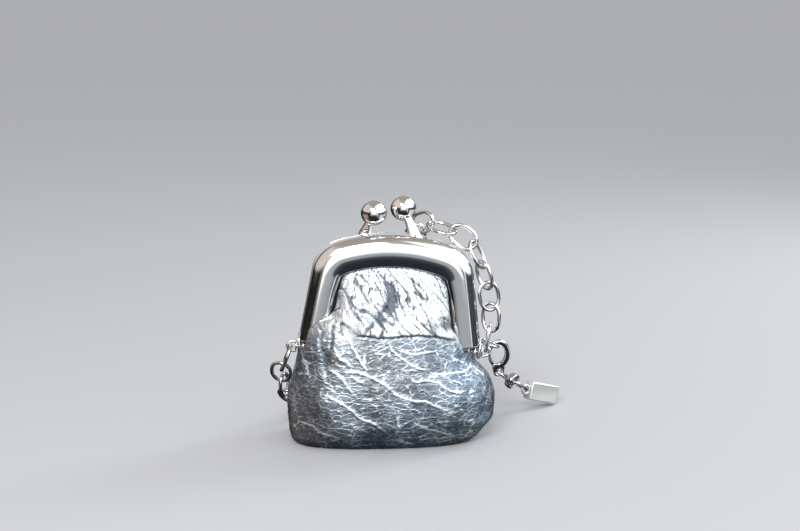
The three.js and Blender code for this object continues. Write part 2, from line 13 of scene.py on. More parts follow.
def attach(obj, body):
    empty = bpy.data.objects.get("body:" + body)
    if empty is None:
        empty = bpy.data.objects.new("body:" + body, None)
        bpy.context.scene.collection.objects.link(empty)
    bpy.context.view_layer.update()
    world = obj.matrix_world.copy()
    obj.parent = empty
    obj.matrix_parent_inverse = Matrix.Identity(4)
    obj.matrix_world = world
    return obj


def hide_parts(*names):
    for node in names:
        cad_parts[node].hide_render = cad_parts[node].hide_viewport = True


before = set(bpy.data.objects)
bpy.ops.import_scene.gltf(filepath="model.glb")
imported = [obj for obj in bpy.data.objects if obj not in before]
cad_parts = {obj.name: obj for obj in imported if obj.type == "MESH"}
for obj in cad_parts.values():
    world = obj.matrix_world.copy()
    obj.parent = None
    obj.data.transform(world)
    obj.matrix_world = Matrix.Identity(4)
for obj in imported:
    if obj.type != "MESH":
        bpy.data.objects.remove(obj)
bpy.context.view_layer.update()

# ---- camera ----
# A long lens 11 degrees above the bag's level and 4 degrees round to its left, so that it shows
# its front almost square on.
VIEW_AZIMUTH = math.radians(-4)
VIEW_ELEVATION = math.radians(11)
VIEW_DISTANCE = 293
VIEW_TARGET = Vector((2.5, -4, 38.5))
LENS_MM = 63
SENSOR_MM = 36
NEAREST_SHOWN = 10
MM_IN_M = 1000


def new_object(name, data):
    made = bpy.data.objects.new(name, data)
    bpy.context.scene.collection.objects.link(made)
    return made


camera_data = bpy.data.cameras.new("camera")
camera_data.lens = LENS_MM
camera_data.sensor_width = SENSOR_MM
camera_data.clip_start = NEAREST_SHOWN / MM_IN_M
camera = new_object("camera", camera_data)
view_from = Vector((
    math.sin(VIEW_AZIMUTH) * math.cos(VIEW_ELEVATION),
    -math.cos(VIEW_AZIMUTH) * math.cos(VIEW_ELEVATION),
    math.sin(VIEW_ELEVATION),
))
camera.location = (VIEW_TARGET + VIEW_DISTANCE * view_from) / MM_IN_M
camera.rotation_euler = (-view_from).to_track_quat("-Z", "Y").to_euler()
bpy.context.scene.camera = camera


# ---- leather pouch ----
# One shell of chrome-tanned leather with a silver foil face, 1 mm thick. Its mouth is tucked into
# the frame's channel, its belly bulges out below the channel and it stands on its flattened base.
# The foil is crumpled flat above a fold across the front, and shows its grain below the fold.
POUCH_ROWS = (
    # height; left and right edge in the grip; half-depth; half-width between the lips;
    # left and right reach of the belly in front of the frame; how far forward it starts
    (0.0, -19.8, 18.2, 8.6, 12.1, -19.8, 18.2, 2.4),
    (1.0, -20.7, 19.4, 9.8, 12.1, -20.7, 19.4, 2.4),
    (2.8, -21.1, 20.9, 10.7, 12.1, -21.1, 20.9, 2.4),
    (6.0, -21.3, 23.0, 11.4, 12.1, -21.3, 23.0, 2.4),
    (9.5, -21.3, 23.2, 11.5, 12.1, -21.3, 23.2, 2.4),
    (13.0, -20.7, 22.2, 11.1, 12.1, -20.7, 22.2, 2.4),
    (15.4, -19.9, 20.8, 10.7, 12.1, -19.9, 20.8, 2.4),
    (17.0, -18.2, 18.1, 10.3, 15.8, -19.5, 19.5, 2.4),
    (18.4, -16.4, 17.3, 10.1, 15.8, -19.1, 18.3, 2.4),
    (19.9, -16.3, 17.2, 9.85, 15.8, -19.0, 17.5, 2.4),
    (20.4, -16.3, 17.2, 9.75, 12.3, -19.0, 17.3, 4.95),
    (24.2, -16.4, 17.3, 8.9, 12.4, -18.6, 15.4, 4.95),
    (25.8, -16.4, 17.3, 8.5, 12.3, -16.9, 13.9, 4.95),
    (27.6, -16.3, 17.2, 8.1, 12.2, -13.4, 13.4, 4.95),
    (30.6, -15.9, 16.8, 7.0, 11.8, -11.6, 12.5, 4.95),
    (33.8, -15.3, 16.2, 5.6, 11.3, -10.9, 11.8, 4.3),
    (36.2, -14.5, 15.4, 4.2, 10.3, -9.9, 10.8, 3.6),
    (38.0, -13.7, 14.6, 3.2, 8.0, -7.6, 8.5, 3.4),
    (41.6, -10.6, 11.5, 2.0, 4.0, -3.6, 4.5, 3.4),
)
LEATHER = 1.0
POUCH_FLOOR = 1.2
LOWEST_INSIDE = 2.8
TUCKED = 3.05
GRIP_BELOW = 4.2
EARS_BELOW = 1.5
HINGE = Vector((0.45, 0, 19.6))
FRAME_LEAN = math.radians(2.8)
POUCH_COLUMNS = 400
NECK_COLUMNS = 26
BELLY_COLUMNS = 74
LIP_COLUMNS = 8
FOOT_LEVELS = 22
BODY_LEVELS = 171
RIM_LEVELS = 14
INNER_LEVELS = 14
CURVE_STEPS = 600
FOOT_TOP = 3.0
RIM_START = 38.2
RIM = 41.6
ROUND_BELLY = 2.7
SQUARE_NECK = 4.5
SQUARE_GRIP = 8


def smooth_table(rows, at):
    """Every column of a table at new heights, on curves that never swing past its rows."""
    rows = np.array(rows, float)
    height, values = rows[:, 0], rows[:, 1:]
    step = np.diff(height)[:, None]
    slope = np.diff(values, axis=0) / step
    tangent = np.zeros_like(values)
    same = slope[1:] * slope[:-1] > 0
    with np.errstate(divide="ignore", invalid="ignore"):
        mean = 2 * slope[1:] * slope[:-1] / (slope[1:] + slope[:-1])
    tangent[1:-1] = np.where(same, mean, 0)
    tangent[0], tangent[-1] = slope[0], slope[-1]
    k = np.clip(np.searchsorted(height, at) - 1, 0, len(height) - 2)
    t = ((at - height[k]) / step[k, 0])[:, None]
    low = (1 + 2 * t) * (1 - t) ** 2 * values[k] + t * (1 - t) ** 2 * step[k] * tangent[k]
    high = t ** 2 * (3 - 2 * t) * values[k + 1] + t ** 2 * (t - 1) * step[k] * tangent[k + 1]
    return low + high


def smoothstep(low, high, value):
    share = np.clip((value - low) / (high - low), 0, 1)
    return share * share * (3 - 2 * share)


def superellipse(offset, reach, depth, power):
    share = np.clip(np.abs(offset / reach), 0, 1)
    return depth * (1 - share ** power) ** (1 / power)


def pouch_quarter(z, grip, depth, neck, reach, shelf, inset):
    """A quarter of the outline at one height, from the side seam to the middle."""
    power = ROUND_BELLY + (SQUARE_NECK - ROUND_BELLY) * smoothstep(24, 31, z)
    gripped = smoothstep(HINGE.z - GRIP_BELOW, HINGE.z - 1.9, z)
    above_hinges = z > HINGE.z - EARS_BELOW
    grip_depth = min(TUCKED, shelf - 0.3) - inset
    shelf += inset * above_hinges
    depth, neck, grip, reach = depth - inset, neck - inset, grip - inset, reach - 1.2 * inset

    start = min(shelf, depth * 0.85)
    forward = grip_depth * np.sin(np.linspace(0, math.pi / 2, NECK_COLUMNS - LIP_COLUMNS))
    held = np.maximum(neck, superellipse(forward * 0.985, grip_depth, grip, SQUARE_GRIP))
    beyond = np.linspace(grip_depth, max(start, grip_depth), LIP_COLUMNS, endpoint=False)
    forward = np.concatenate([forward, beyond])
    held = np.concatenate([held, np.full(LIP_COLUMNS, neck)])
    plain = superellipse(forward, depth, reach, power)
    across = plain + (held - plain) * gripped

    angle = np.linspace(math.asin((start / depth) ** (power / 2)), math.pi / 2, CURVE_STEPS)
    curve = np.column_stack([
        reach * np.maximum(0, np.cos(angle)) ** (2 / power),
        depth * np.sin(angle) ** (2 / power),
    ])
    walked = np.concatenate([[0], np.cumsum(np.linalg.norm(np.diff(curve, axis=0), axis=1))])
    even = np.linspace(0, walked[-1], BELLY_COLUMNS + 1)
    belly = np.column_stack([np.interp(even, walked, curve[:, k]) for k in range(2)])
    if above_hinges:
        tucked = superellipse(belly[:, 0], grip, TUCKED - inset, SQUARE_GRIP)
        belly[:, 1] = np.maximum(belly[:, 1], tucked)
    return np.vstack([np.column_stack([across, forward]), belly])


def pouch_rings(heights, inset):
    """Rings of points round the pouch, one for each height, set in from its outside."""
    rings = []
    for z, row in zip(heights, smooth_table(POUCH_ROWS, heights)):
        left_edge, right_edge, depth, neck, spill_left, spill_right, shelf = row
        middle, grip = (left_edge + right_edge) / 2, (right_edge - left_edge) / 2
        left = pouch_quarter(z, grip, depth, neck, middle - spill_left, shelf, inset)
        right = pouch_quarter(z, grip, depth, neck, spill_right - middle, shelf, inset)
        outline = np.vstack([
            left * (-1, -1), right[-2::-1] * (1, -1), right[1:] * (1, 1), left[-2:0:-1] * (-1, 1),
        ])
        level = np.full(len(outline), z)
        rings.append(np.column_stack([middle + outline[:, 0], outline[:, 1], level]))
    return np.array(rings)


def leaned(points, across, up, turn):
    """The points, placed at these distances across and up from the hinge line and then turned."""
    placed = points.copy()
    placed[..., 0] = HINGE.x + across * np.cos(turn) + up * np.sin(turn)
    placed[..., 2] = HINGE.z - across * np.sin(turn) + up * np.cos(turn)
    return placed


def lean_with_frame(points):
    turn = FRAME_LEAN * smoothstep(HINGE.z - 6, HINGE.z, points[..., 2])
    return leaned(points, points[..., 0] - HINGE.x, points[..., 2] - HINGE.z, turn)


def outward_normals(grid):
    """Unit normals of a grid that is closed round its second axis."""
    around = np.roll(grid, -1, axis=1) - np.roll(grid, 1, axis=1)
    up = np.gradient(grid, axis=0)
    normal = np.cross(around, up)
    return normal / np.maximum(np.linalg.norm(normal, axis=-1, keepdims=True), 1e-9)


# The fold and creases of the front, as (x, z) from end to end, each with its half-width and height.
FOLD_LINE = (
    (-5.1, 24.2), (-2.6, 23.9), (-0.1, 24.0), (2.8, 24.4), (6.1, 24.6), (9.5, 24.3), (13.6, 23.3),
)
RIDGES = (
    (((-8.8, 24.6), (-7.8, 21.9), (-6.2, 19.4), (-5.1, 18.1), (-4.6, 17.2)), 0.28, 0.4),
    (((-10.5, 16.8), (-6.5, 17.0), (-4.6, 16.3), (-1.7, 14.9), (0.4, 13.1)), 0.26, 0.35),
    (((-14.7, 12.5), (-11.6, 11.3), (-8.2, 9.5), (-6.5, 8.0), (-2.3, 5.6), (-0.1, 3.6)), 0.27, 0.4),
    (((-12.9, 17.4), (-11.1, 16.7), (-9.8, 15.4), (-8.3, 13.6), (-6.4, 11.4)), 0.22, 0.3),
    (((-11.7, 21.7), (-10.1, 19.4), (-7.7, 17.7)), 0.24, 0.28),
    (((-0.8, 23.1), (0.7, 21.2), (3.8, 19.2), (5.9, 18.3), (8.8, 17.4)), 0.24, 0.3),
    (((0.7, 22.1), (3.5, 21.3), (6.0, 21.0), (8.5, 21.4), (10.2, 22.1)), 0.2, 0.24),
    (((4.2, 15.6), (5.4, 14.9), (8.6, 15.0), (10.4, 14.7), (12.6, 12.9), (14.5, 12.0), (16.8, 12.9)),
     0.24, 0.3),
    (((-1.1, 15.1), (0.8, 12.9), (2.2, 11.8), (5.4, 11.2), (7.5, 11.0), (9.7, 9.7), (12.2, 8.5),
      (15.3, 8.5)), 0.24, 0.3),
    (((8.1, 16.5), (12.2, 16.9), (15.4, 16.7), (17.7, 17.5)), 0.22, 0.22),
    (((5.4, 6.0), (8.1, 4.6), (12.1, 3.4), (13.9, 2.3)), 0.24, 0.25),
    (((-19.4, 5.7), (-16.3, 5.4), (-14.7, 4.2), (-10.6, 3.0)), 0.26, 0.25),
    (((2.7, 10.2), (5.2, 9.5), (6.6, 8.1)), 0.2, 0.2),
    (((-3.3, 12.5), (-1.5, 11.0)), 0.2, 0.2),
    (((-7.9, 16.0), (-5.0, 14.4)), 0.18, 0.18),
    (((12.4, 15.7), (14.5, 14.6), (15.5, 13.8)), 0.2, 0.2),
    (((-13.0, 8.8), (-11.7, 7.3)), 0.2, 0.18),
    (((1.2, 2.8), (3.3, 1.6), (5.1, 1.4)), 0.2, 0.18),
    (((-1.2, 8.8), (2.0, 8.5), (3.0, 7.9)), 0.18, 0.16),
)
GROOVES = (
    (((-8.4, 36.4), (-7.4, 34.5), (-5.6, 32.3), (-4.1, 30.4)), 0.3, 0.3),
    (((-6.5, 36.8), (-5.4, 34.9)), 0.25, 0.25),
    (((4.0, 37.4), (4.6, 34.5), (6.1, 32.5), (6.9, 31.1)), 0.3, 0.28),
    (((3.2, 33.6), (3.8, 31.2)), 0.25, 0.22),
    (((-3.3, 27.2), (-4.7, 25.5), (-5.6, 24.2)), 0.35, 0.25),
    (((-2.8, 27.7), (-1.0, 24.9)), 0.3, 0.28),
    (((-8.2, 30.3), (-6.2, 26.5)), 0.3, 0.2),
    (((-12.0, 26.5), (-12.6, 23.9), (-12.4, 20.5)), 0.33, 0.28),
    (((-14.3, 24.5), (-14.6, 22.0), (-13.8, 19.0)), 0.33, 0.25),
)
DENT = ((-1.9, 37.2), (-0.8, 34.5), (0.2, 32.3), (0.1, 30.1), (-1.6, 28.5), (-3.3, 27.2))
DENT_HALF_WIDTH = 1.2
DENT_DEPTH = 0.45
FOLD_STEP = 0.4
FOLD_GROOVE = 0.3
RIDGE_SHARE = 0.55
CRUMPLE = 0.17
FINE_CREASE = 0.12
VEIN_HEIGHT = 0.13
SAG = 0.3
PLEAT_DEPTH = 0.12
PLEATS_PER_MM = 2.2


def from_line(x, z, line):
    """Distance to a broken line, and the share of the way along it."""
    line = np.array(line, float)
    best = np.full(x.shape, np.inf)
    along = np.zeros(x.shape)
    count = len(line) - 1
    for k in range(count):
        start, step = line[k], line[k + 1] - line[k]
        share = ((x - start[0]) * step[0] + (z - start[1]) * step[1]) / (step @ step)
        share = np.clip(share, 0, 1)
        away = np.hypot(x - start[0] - share * step[0], z - start[1] - share * step[1])
        along = np.where(away < best, (k + share) / count, along)
        best = np.minimum(best, away)
    return best, along


def crease(x, z, line, half_width):
    """1 along a broken line, fading at its sides and a little towards its ends."""
    away, along = from_line(x, z, line)
    ends = np.clip(4 * along * (1 - along) + 0.25, 0, 1)
    return ends * np.exp(-(away / half_width) ** 2)


def sampled(function, points):
    """A noise function at every point of a grid."""
    flat = points.reshape(-1, 3)
    return np.array([function(Vector(p)) for p in flat]).reshape(points.shape[:-1])


def vein_edges(point):
    near = noise.voronoi(point, distance_metric="DISTANCE", exponent=2.5)[0]
    return near[1] - near[0]


def line_where(field, half_width):
    """Fine lines where a noise field passes through zero."""
    return np.exp(-(field / half_width) ** 2)


def pouch_relief(points):
    """Height of the folds and veins over the outside; where the foil is rubbed, with painted highlight;
    and where it is creased, with painted shade.
    """
    x, y, z = (points[..., k] for k in range(3))
    front = smoothstep(0.5, 3.0, -y)
    fold_z = np.interp(x, *np.array(FOLD_LINE).T)
    reach = smoothstep(-7.5, -5.2, x) * (1 - smoothstep(12.5, 14.5, x)) * front
    soften = 0.25 + 3.2 * (1 - reach)
    away = z - fold_z
    above = smoothstep(-soften, soften, away)
    below = 1 - above

    def drift(scale, seed):
        return sampled(lambda p: noise.noise(p * scale + Vector((seed, 2 * seed, 5))), points)

    wander, rise = drift(0.3, 3), drift(0.3, 11)
    fine, fine_rise = drift(1.1, 17), drift(1.1, 23)
    wx, wz = x + 0.5 * wander + 0.18 * fine, z + 0.5 * rise + 0.18 * fine_rise

    relief = np.zeros(x.shape)
    ridge = np.zeros(x.shape)
    for line, half_width, height in RIDGES:
        bump = crease(wx, wz, line, 0.8 * half_width) * front
        relief += RIDGE_SHARE * bump * height
        ridge = np.maximum(ridge, bump * min(1, height / 0.25))
    creased = np.zeros(x.shape)
    # Grooves are darkened in colour: partly dull creased foil, partly painted shade.
    for line, half_width, depth in GROOVES:
        dip = crease(wx, wz, line, half_width) * front
        relief -= dip * depth
        creased = np.maximum(creased, dip * 0.8)

    # The fold across the front: leather above it lies a little proud of what hangs below. Its groove is
    # darkened in colour: partly dull foil, partly painted shade.
    relief += reach * (FOLD_STEP * smoothstep(-0.15, 0.2, away) * (1 - smoothstep(0.2, 4.0, away)))
    fold_line = reach * np.exp(-((away + 0.05) / 0.2) ** 2)
    relief -= FOLD_GROOVE * fold_line
    creased = np.maximum(creased, 0.75 * fold_line)

    # The foil above the fold is crushed flat: a broad dent, and fine creases down to the right. The dent
    # and the creases are darkened in colour: partly dull crushed foil, partly painted shade.
    dent = np.minimum(1, 1.4 * crease(x + 0.8 * wander, z, DENT, DENT_HALF_WIDTH)) * front
    along, over = 0.6 * x - 0.8 * z, 0.8 * x + 0.6 * z
    slanted = np.stack([over * 0.55, y * 0.3, along * 0.13], axis=-1)
    long_crease = line_where(sampled(noise.noise, slanted), 0.06)
    short_crease = line_where(sampled(noise.noise, slanted * 2.3 + 9), 0.095)
    facets = sampled(noise.noise, slanted * 1.3 + 4)
    patch = smoothstep(-0.3, 0.25, drift(0.35, 5))
    crumpled = CRUMPLE * facets - CRUMPLE * long_crease - FINE_CREASE * short_crease * (0.4 + 0.6 * patch)
    relief += above * crumpled - DENT_DEPTH * dent
    crossed = np.clip(0.8 * long_crease + 0.6 * short_crease * patch, 0, 1)
    creased = np.maximum(creased, above * crossed)
    creased = np.clip(creased + dent * (0.75 + 1.3 * facets), 0, 1)

    # A net of veins covers the belly, in flat cells that are wider than they are high.
    net = np.stack([wx * 0.30 + wz * 0.06, y * 0.30, wz * 0.58], axis=-1)
    vein = line_where(sampled(vein_edges, net), 0.055)
    small = line_where(sampled(vein_edges, net * 1.9 + 7), 0.09)
    strength = smoothstep(-0.3, 0.3, drift(0.4, 7))
    veins = np.maximum(vein * (0.4 + 0.6 * strength), small * (0.55 - 0.35 * strength))
    relief += VEIN_HEIGHT * below * veins
    relief += SAG * drift(0.15, 9) * smoothstep(2.0, 6.0, z) * (1 - smoothstep(30, 38, z))

    # Pleats at the flanks, where the leather is gathered under the ends of the frame.
    pleats = np.cos((x + 0.3 * y) * PLEATS_PER_MM + 2 * wander)
    flank = smoothstep(9.5, 13.5, np.abs(x)) * smoothstep(13, 18, z) * (1 - smoothstep(22, 27, z))
    relief += PLEAT_DEPTH * pleats * flank
    # The ridges and the veins below the fold are marked for a lighter colour: partly rubbed foil, partly
    # painted highlight.
    worn = np.clip(np.maximum(1.2 * ridge, below * veins * 0.8), 0, 1)
    return relief, worn, creased, above


def ring_faces(levels, size, closed_along=False):
    """Faces of a skin through rings: capped at its ends unless it is a loop."""
    k = np.arange(size)
    following = (k + 1) % size
    faces = []
    for level in range(levels if closed_along else levels - 1):
        low, high = level * size, (level + 1) % levels * size
        faces += np.stack([low + k, low + following, high + following, high + k], 1).tolist()
    if not closed_along:
        faces += [list(reversed(range(size))), list(range((levels - 1) * size, levels * size))]
    return faces


def pouch_mesh():
    heights = np.concatenate([
        np.linspace(0, FOOT_TOP, FOOT_LEVELS)[:-1],
        np.linspace(FOOT_TOP, RIM_START, BODY_LEVELS)[:-1],
        np.linspace(RIM_START, RIM, RIM_LEVELS),
    ])
    outside = pouch_rings(heights, 0)
    inside = pouch_rings(np.linspace(RIM, LOWEST_INSIDE, INNER_LEVELS), LEATHER)
    floor = pouch_rings(np.array([LEATHER]), LEATHER)
    floor[..., 2] = POUCH_FLOOR

    normal = outward_normals(outside)
    relief, worn, creased, above = pouch_relief(outside)
    y, z = outside[..., 1], outside[..., 2]
    column = np.arange(POUCH_COLUMNS)
    from_seam = np.minimum(column, POUCH_COLUMNS - column)
    from_seam = np.minimum(from_seam, np.abs(column - POUCH_COLUMNS / 2))
    beside_seam = 1 - smoothstep(NECK_COLUMNS - 4, NECK_COLUMNS + 1, from_seam)
    # The neck columns beside each side seam, above the hinges where the frame's lips grip the leather, are
    # darkened all over: painted shade.
    creased = np.maximum(creased, beside_seam * smoothstep(19, 21, z))
    clear_of_frame = smoothstep(5.1, 6.4, np.abs(y) + 2.0 * smoothstep(28, 36, z))
    clear_of_frame = np.maximum(clear_of_frame, 1 - smoothstep(15.0, 17.0, z))
    on_table = smoothstep(0.0, 1.5, z)
    relief = relief * np.clip(clear_of_frame, 0, 1) * on_table
    outside = outside + normal * relief[..., None]
    outside[..., 2] = np.maximum(outside[..., 2], 0)

    rings = lean_with_frame(np.concatenate([outside, inside, floor]))
    vertices = rings.reshape(-1, 3)
    mesh = bpy.data.meshes.new("pouch")
    mesh.from_pydata((vertices / MM_IN_M).tolist(), [], ring_faces(len(rings), POUCH_COLUMNS))
    for name, values in (("worn", worn), ("creased", creased), ("above_fold", above)):
        attribute = mesh.attributes.new(name, "FLOAT", "POINT")
        padded = np.zeros(len(vertices), np.float32)
        padded[:values.size] = values.ravel()
        attribute.data.foreach_set("value", padded)
    mesh.shade_smooth()
    return mesh


def piece_from(name, mesh, material, slot, *replaced):
    """An object of the bag: it rides on the one body and stands for its CAD nodes."""
    piece = new_object(name, mesh)
    mesh.materials.clear()
    mesh.materials.append(material)
    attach(piece, "root")
    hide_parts(*replaced)


def fill(socket, value):
    """Links an input to another node's output, or sets its own value."""
    if isinstance(value, Socket):
        value.tree.links.new(value.output, socket)
    else:
        socket.default_value = value


class Socket:
    """An output of a material's nodes, with Python's operators for its maths."""

    def __init__(self, tree, output):
        self.tree = tree
        self.output = output

    @classmethod
    def node(cls, tree, kind, inputs=None, output=0, **settings):
        made = tree.nodes.new(kind)
        for name, value in settings.items():
            if name == "stops":
                ramp = made.color_ramp
                while len(ramp.elements) < len(value):
                    ramp.elements.new(1)
                for stop, (place, tone) in zip(ramp.elements, value):
                    stop.position = place
                    stop.color = (*tone, 1)
            else:
                setattr(made, name, value)
        for name, value in (inputs or {}).items():
            fill(made.inputs[name], value)
        return cls(tree, made.outputs[output])

    def maths(self, operation, *others):
        values = dict(enumerate((self, *others)))
        return Socket.node(self.tree, "ShaderNodeMath", values, operation=operation)

    __add__ = __radd__ = partialmethod(maths, "ADD")
    __sub__ = partialmethod(maths, "SUBTRACT")
    __mul__ = __rmul__ = partialmethod(maths, "MULTIPLY")
    __truediv__ = partialmethod(maths, "DIVIDE")

    def __rsub__(self, other):
        return self * -1 + other

    def clamped(self, low=0.0, high=1.0):
        return self.maths("MAXIMUM", low).maths("MINIMUM", high)

    def between(self, low, high, start=0.0, end=1.0):
        return Socket.node(self.tree, "ShaderNodeMapRange", {
            "Value": self, "From Min": low, "From Max": high, "To Min": start, "To Max": end,
        })

    def mixed(self, first, second):
        """A colour between two others, by this share."""
        return Socket.node(self.tree, "ShaderNodeMix", {0: self, 6: first, 7: second}, 2, data_type="RGBA")


def new_material(name):
    material = bpy.data.materials.new(name)
    material.use_nodes = True
    tree = material.node_tree
    tree.nodes.clear()
    output = tree.nodes.new("ShaderNodeOutputMaterial")
    shader = tree.nodes.new("ShaderNodeBsdfPrincipled")
    tree.links.new(shader.outputs[0], output.inputs["Surface"])
    return material, shader, partial(Socket.node, tree)


def set_shader(shader, **values):
    for name, value in values.items():
        fill(shader.inputs[name.replace("_", " ").title()], value)


WARM_CELL = (0.15, 0.16, 0.175, 1)
COOL_CELL = (0.12, 0.155, 0.205, 1)
RUBBED_CELL = (0.24, 0.285, 0.34, 1)
DULL_FOIL = (0.60, 0.63, 0.66, 1)
CLEAN_FOIL = (0.86, 0.88, 0.89, 1)
CREASE_SHADE_TONE = (0.11, 0.125, 0.15, 1)
RUBBED_RIDGE_HIGHLIGHT = (0.88, 0.93, 0.97, 1)
CELLS_PER_M = 640.0
PEBBLES_PER_M = 1500.0
PORES_PER_M = 2600.0
HAIRLINES_PER_M = 950.0
GRAIN_DEPTH = 0.14
GRAIN_WANDER = 0.9


def silver_leather_material():
    """Metal foil on grained leather: darker in its cells; darker in its creases, partly painted shade, and
    beside the seams under the frame, painted shade; lighter on its ridges and cell rims, partly rubbed
    foil and partly painted highlight.
    """
    material, shader, node = new_material("silver_foil_leather")

    def noisy(place, scale, output="Fac", **inputs):
        return node("ShaderNodeTexNoise", {"Vector": place, "Scale": scale, **inputs}, output)

    def rims(place, scale):
        cellular = {"Vector": place, "Scale": scale}
        return node("ShaderNodeTexVoronoi", cellular, "Distance", feature="DISTANCE_TO_EDGE")

    coords = node("ShaderNodeTexCoord", output="Object")
    worn, creased, above = (
        node("ShaderNodeAttribute", output="Fac", attribute_name=name)
        for name in ("worn", "creased", "above_fold")
    )
    warp = noisy(coords, 700.0, "Color", Detail=2.0)
    shifted = node("ShaderNodeVectorMath", {0: warp, "Scale": GRAIN_WANDER / MM_IN_M}, operation="SCALE")
    warped = node("ShaderNodeVectorMath", {0: coords, 1: shifted}, operation="ADD")
    flat_cells = node("ShaderNodeMapping", {"Vector": warped, "Scale": (0.62, 1.0, 1.4)})
    steep = node("ShaderNodeMapping", {
        "Vector": warped, "Rotation": (0.0, math.radians(-37), 0.0), "Scale": (1.0, 1.0, 0.3),
    })
    cells = rims(flat_cells, CELLS_PER_M)
    pebbles = rims(warped, PEBBLES_PER_M)
    pores = noisy(coords, PORES_PER_M, Detail=2.0, Roughness=0.6)
    patches = noisy(coords, 150.0, Detail=3.0, Roughness=0.6)
    drifting = noisy(coords, 55.0, Detail=1.0).between(0.42, 0.58).clamped()
    crushed = noisy(steep, HAIRLINES_PER_M, Detail=2.0)

    belly = 1 - above
    broken = patches.between(0.42, 0.62).clamped()
    cell_rim = (1 - cells.between(0.0, 0.085)).clamped() * (0.35 + broken * 0.65)
    pebble_rim = (1 - pebbles.between(0.0, 0.2)).clamped()
    hairline = (1 - (crushed - 0.5).maths("ABSOLUTE").between(0.0, 0.035)).clamped() * above
    scuffed = crushed.between(0.56, 0.68).clamped() * above
    # Ridges, veins and the rims of the belly cells are lightened in colour: partly rubbed foil, partly
    # painted highlight.
    rub_and_highlight = (worn.between(0.25, 0.75) + cell_rim * belly * 0.62).clamped()
    # The dark mask takes the attribute's creases with their painted shade, the darkened hairlines of the
    # crushed foil (partly painted shade) and random scuffs.
    dark = (creased.between(0.1, 0.85) + hairline * (0.75 + broken * 0.25) + scuffed * 0.5).clamped()
    cell = broken.mixed(drifting.mixed(WARM_CELL, COOL_CELL), RUBBED_CELL)
    ground = above.mixed(cell, broken.mixed(DULL_FOIL, CLEAN_FOIL))
    ground = dark.mixed(ground, CREASE_SHADE_TONE)
    tint = rub_and_highlight.mixed(ground, RUBBED_RIDGE_HIGHLIGHT)
    roughness = (broken * 0.08 + pores * 0.08 + dark * 0.12 - rub_and_highlight * 0.04 + 0.31).clamped(0.15, 0.7)
    height = (cell_rim * 0.6 + pebble_rim * 0.22) * belly + pores * 0.2 - hairline * 0.6
    grain = {"Height": height, "Strength": 0.5, "Distance": GRAIN_DEPTH / MM_IN_M}
    normal = node("ShaderNodeBump", grain)
    set_shader(shader, base_color=tint, metallic=0.88, roughness=roughness, normal=normal)
    return material


piece_from("pouch_leather", pouch_mesh(), silver_leather_material(), "silver_leather", "leather_pouch")


# ---- kiss-lock frame ----
# Two halves bent from nickel-chromed brass channel with a half-round front. Each has ears for the
# hinge rivets at its lower ends, and a tapered stem with a hollow ball soldered to its roof.
FRAME_HALF_WIDTH = 19.65
SIDE_SLOPE = 0.15
FRAME_HEIGHT = 25.2
CREST_RADIUS = 37.7
SHOULDER_RADIUS = 8.0
LEG_START = 2.0
BAND_TOP = 6.6
BAND_SIDE = 5.6
CHANNEL_WALL = 0.6
CHANNEL_DEPTH = 6.4
JOINT_GAP = 0.15
CHANNEL_OUTSIDE = (
    # inward from the frame's edge, forward from the joint
    (0.0, JOINT_GAP), (0.0, 1.9), (0.35, 3.2), (1.2, 4.1),
    (2.5, 4.55), (4.0, 4.6), (5.4, 4.35), (CHANNEL_DEPTH, 3.95),
)
CHANNEL_INSIDE = (
    (CHANNEL_DEPTH, 3.4), (5.2, 3.75), (4.0, 4.0), (2.7, 3.95),
    (1.65, 3.55), (0.95, 2.8), (CHANNEL_WALL, 1.7), (CHANNEL_WALL, JOINT_GAP),
)
FRAME_STATIONS = 230


def curve_through(points, steps):
    """A smooth open curve through points, with the same number of steps on each stretch."""
    points = np.array(points, float)
    padded = np.vstack([2 * points[0] - points[1], points, 2 * points[-1] - points[-2]])
    share = np.linspace(0, 1, steps, endpoint=False)[:, None]
    pieces = []
    for a, b, c, d in zip(padded, padded[1:], padded[2:], padded[3:]):
        cubic = 2 * b + (c - a) * share + (2 * a - 5 * b + 4 * c - d) * share ** 2
        pieces.append(0.5 * (cubic + (3 * b - 3 * c + d - a) * share ** 3))
    return np.vstack([*pieces, points[-1:]])


def eased_corners(outline, radius=0.1):
    """A closed outline with its sharp corners cut back a little, so that they catch the light."""
    eased = []
    for k, point in enumerate(outline):
        before = outline[k - 1] - point
        after = outline[(k + 1) % len(outline)] - point
        before_length, after_length = np.linalg.norm(before), np.linalg.norm(after)
        turn = -(before @ after) / (before_length * after_length)
        if turn > 0.7:
            eased.append(point)
            continue
        start = point + before / before_length * min(radius, before_length / 2)
        end = point + after / after_length * min(radius, after_length / 2)
        eased += [start, (start + end + 2 * point) / 4, end]
    return np.array(eased)


def heading(angle):
    return np.array([math.cos(angle), math.sin(angle)])


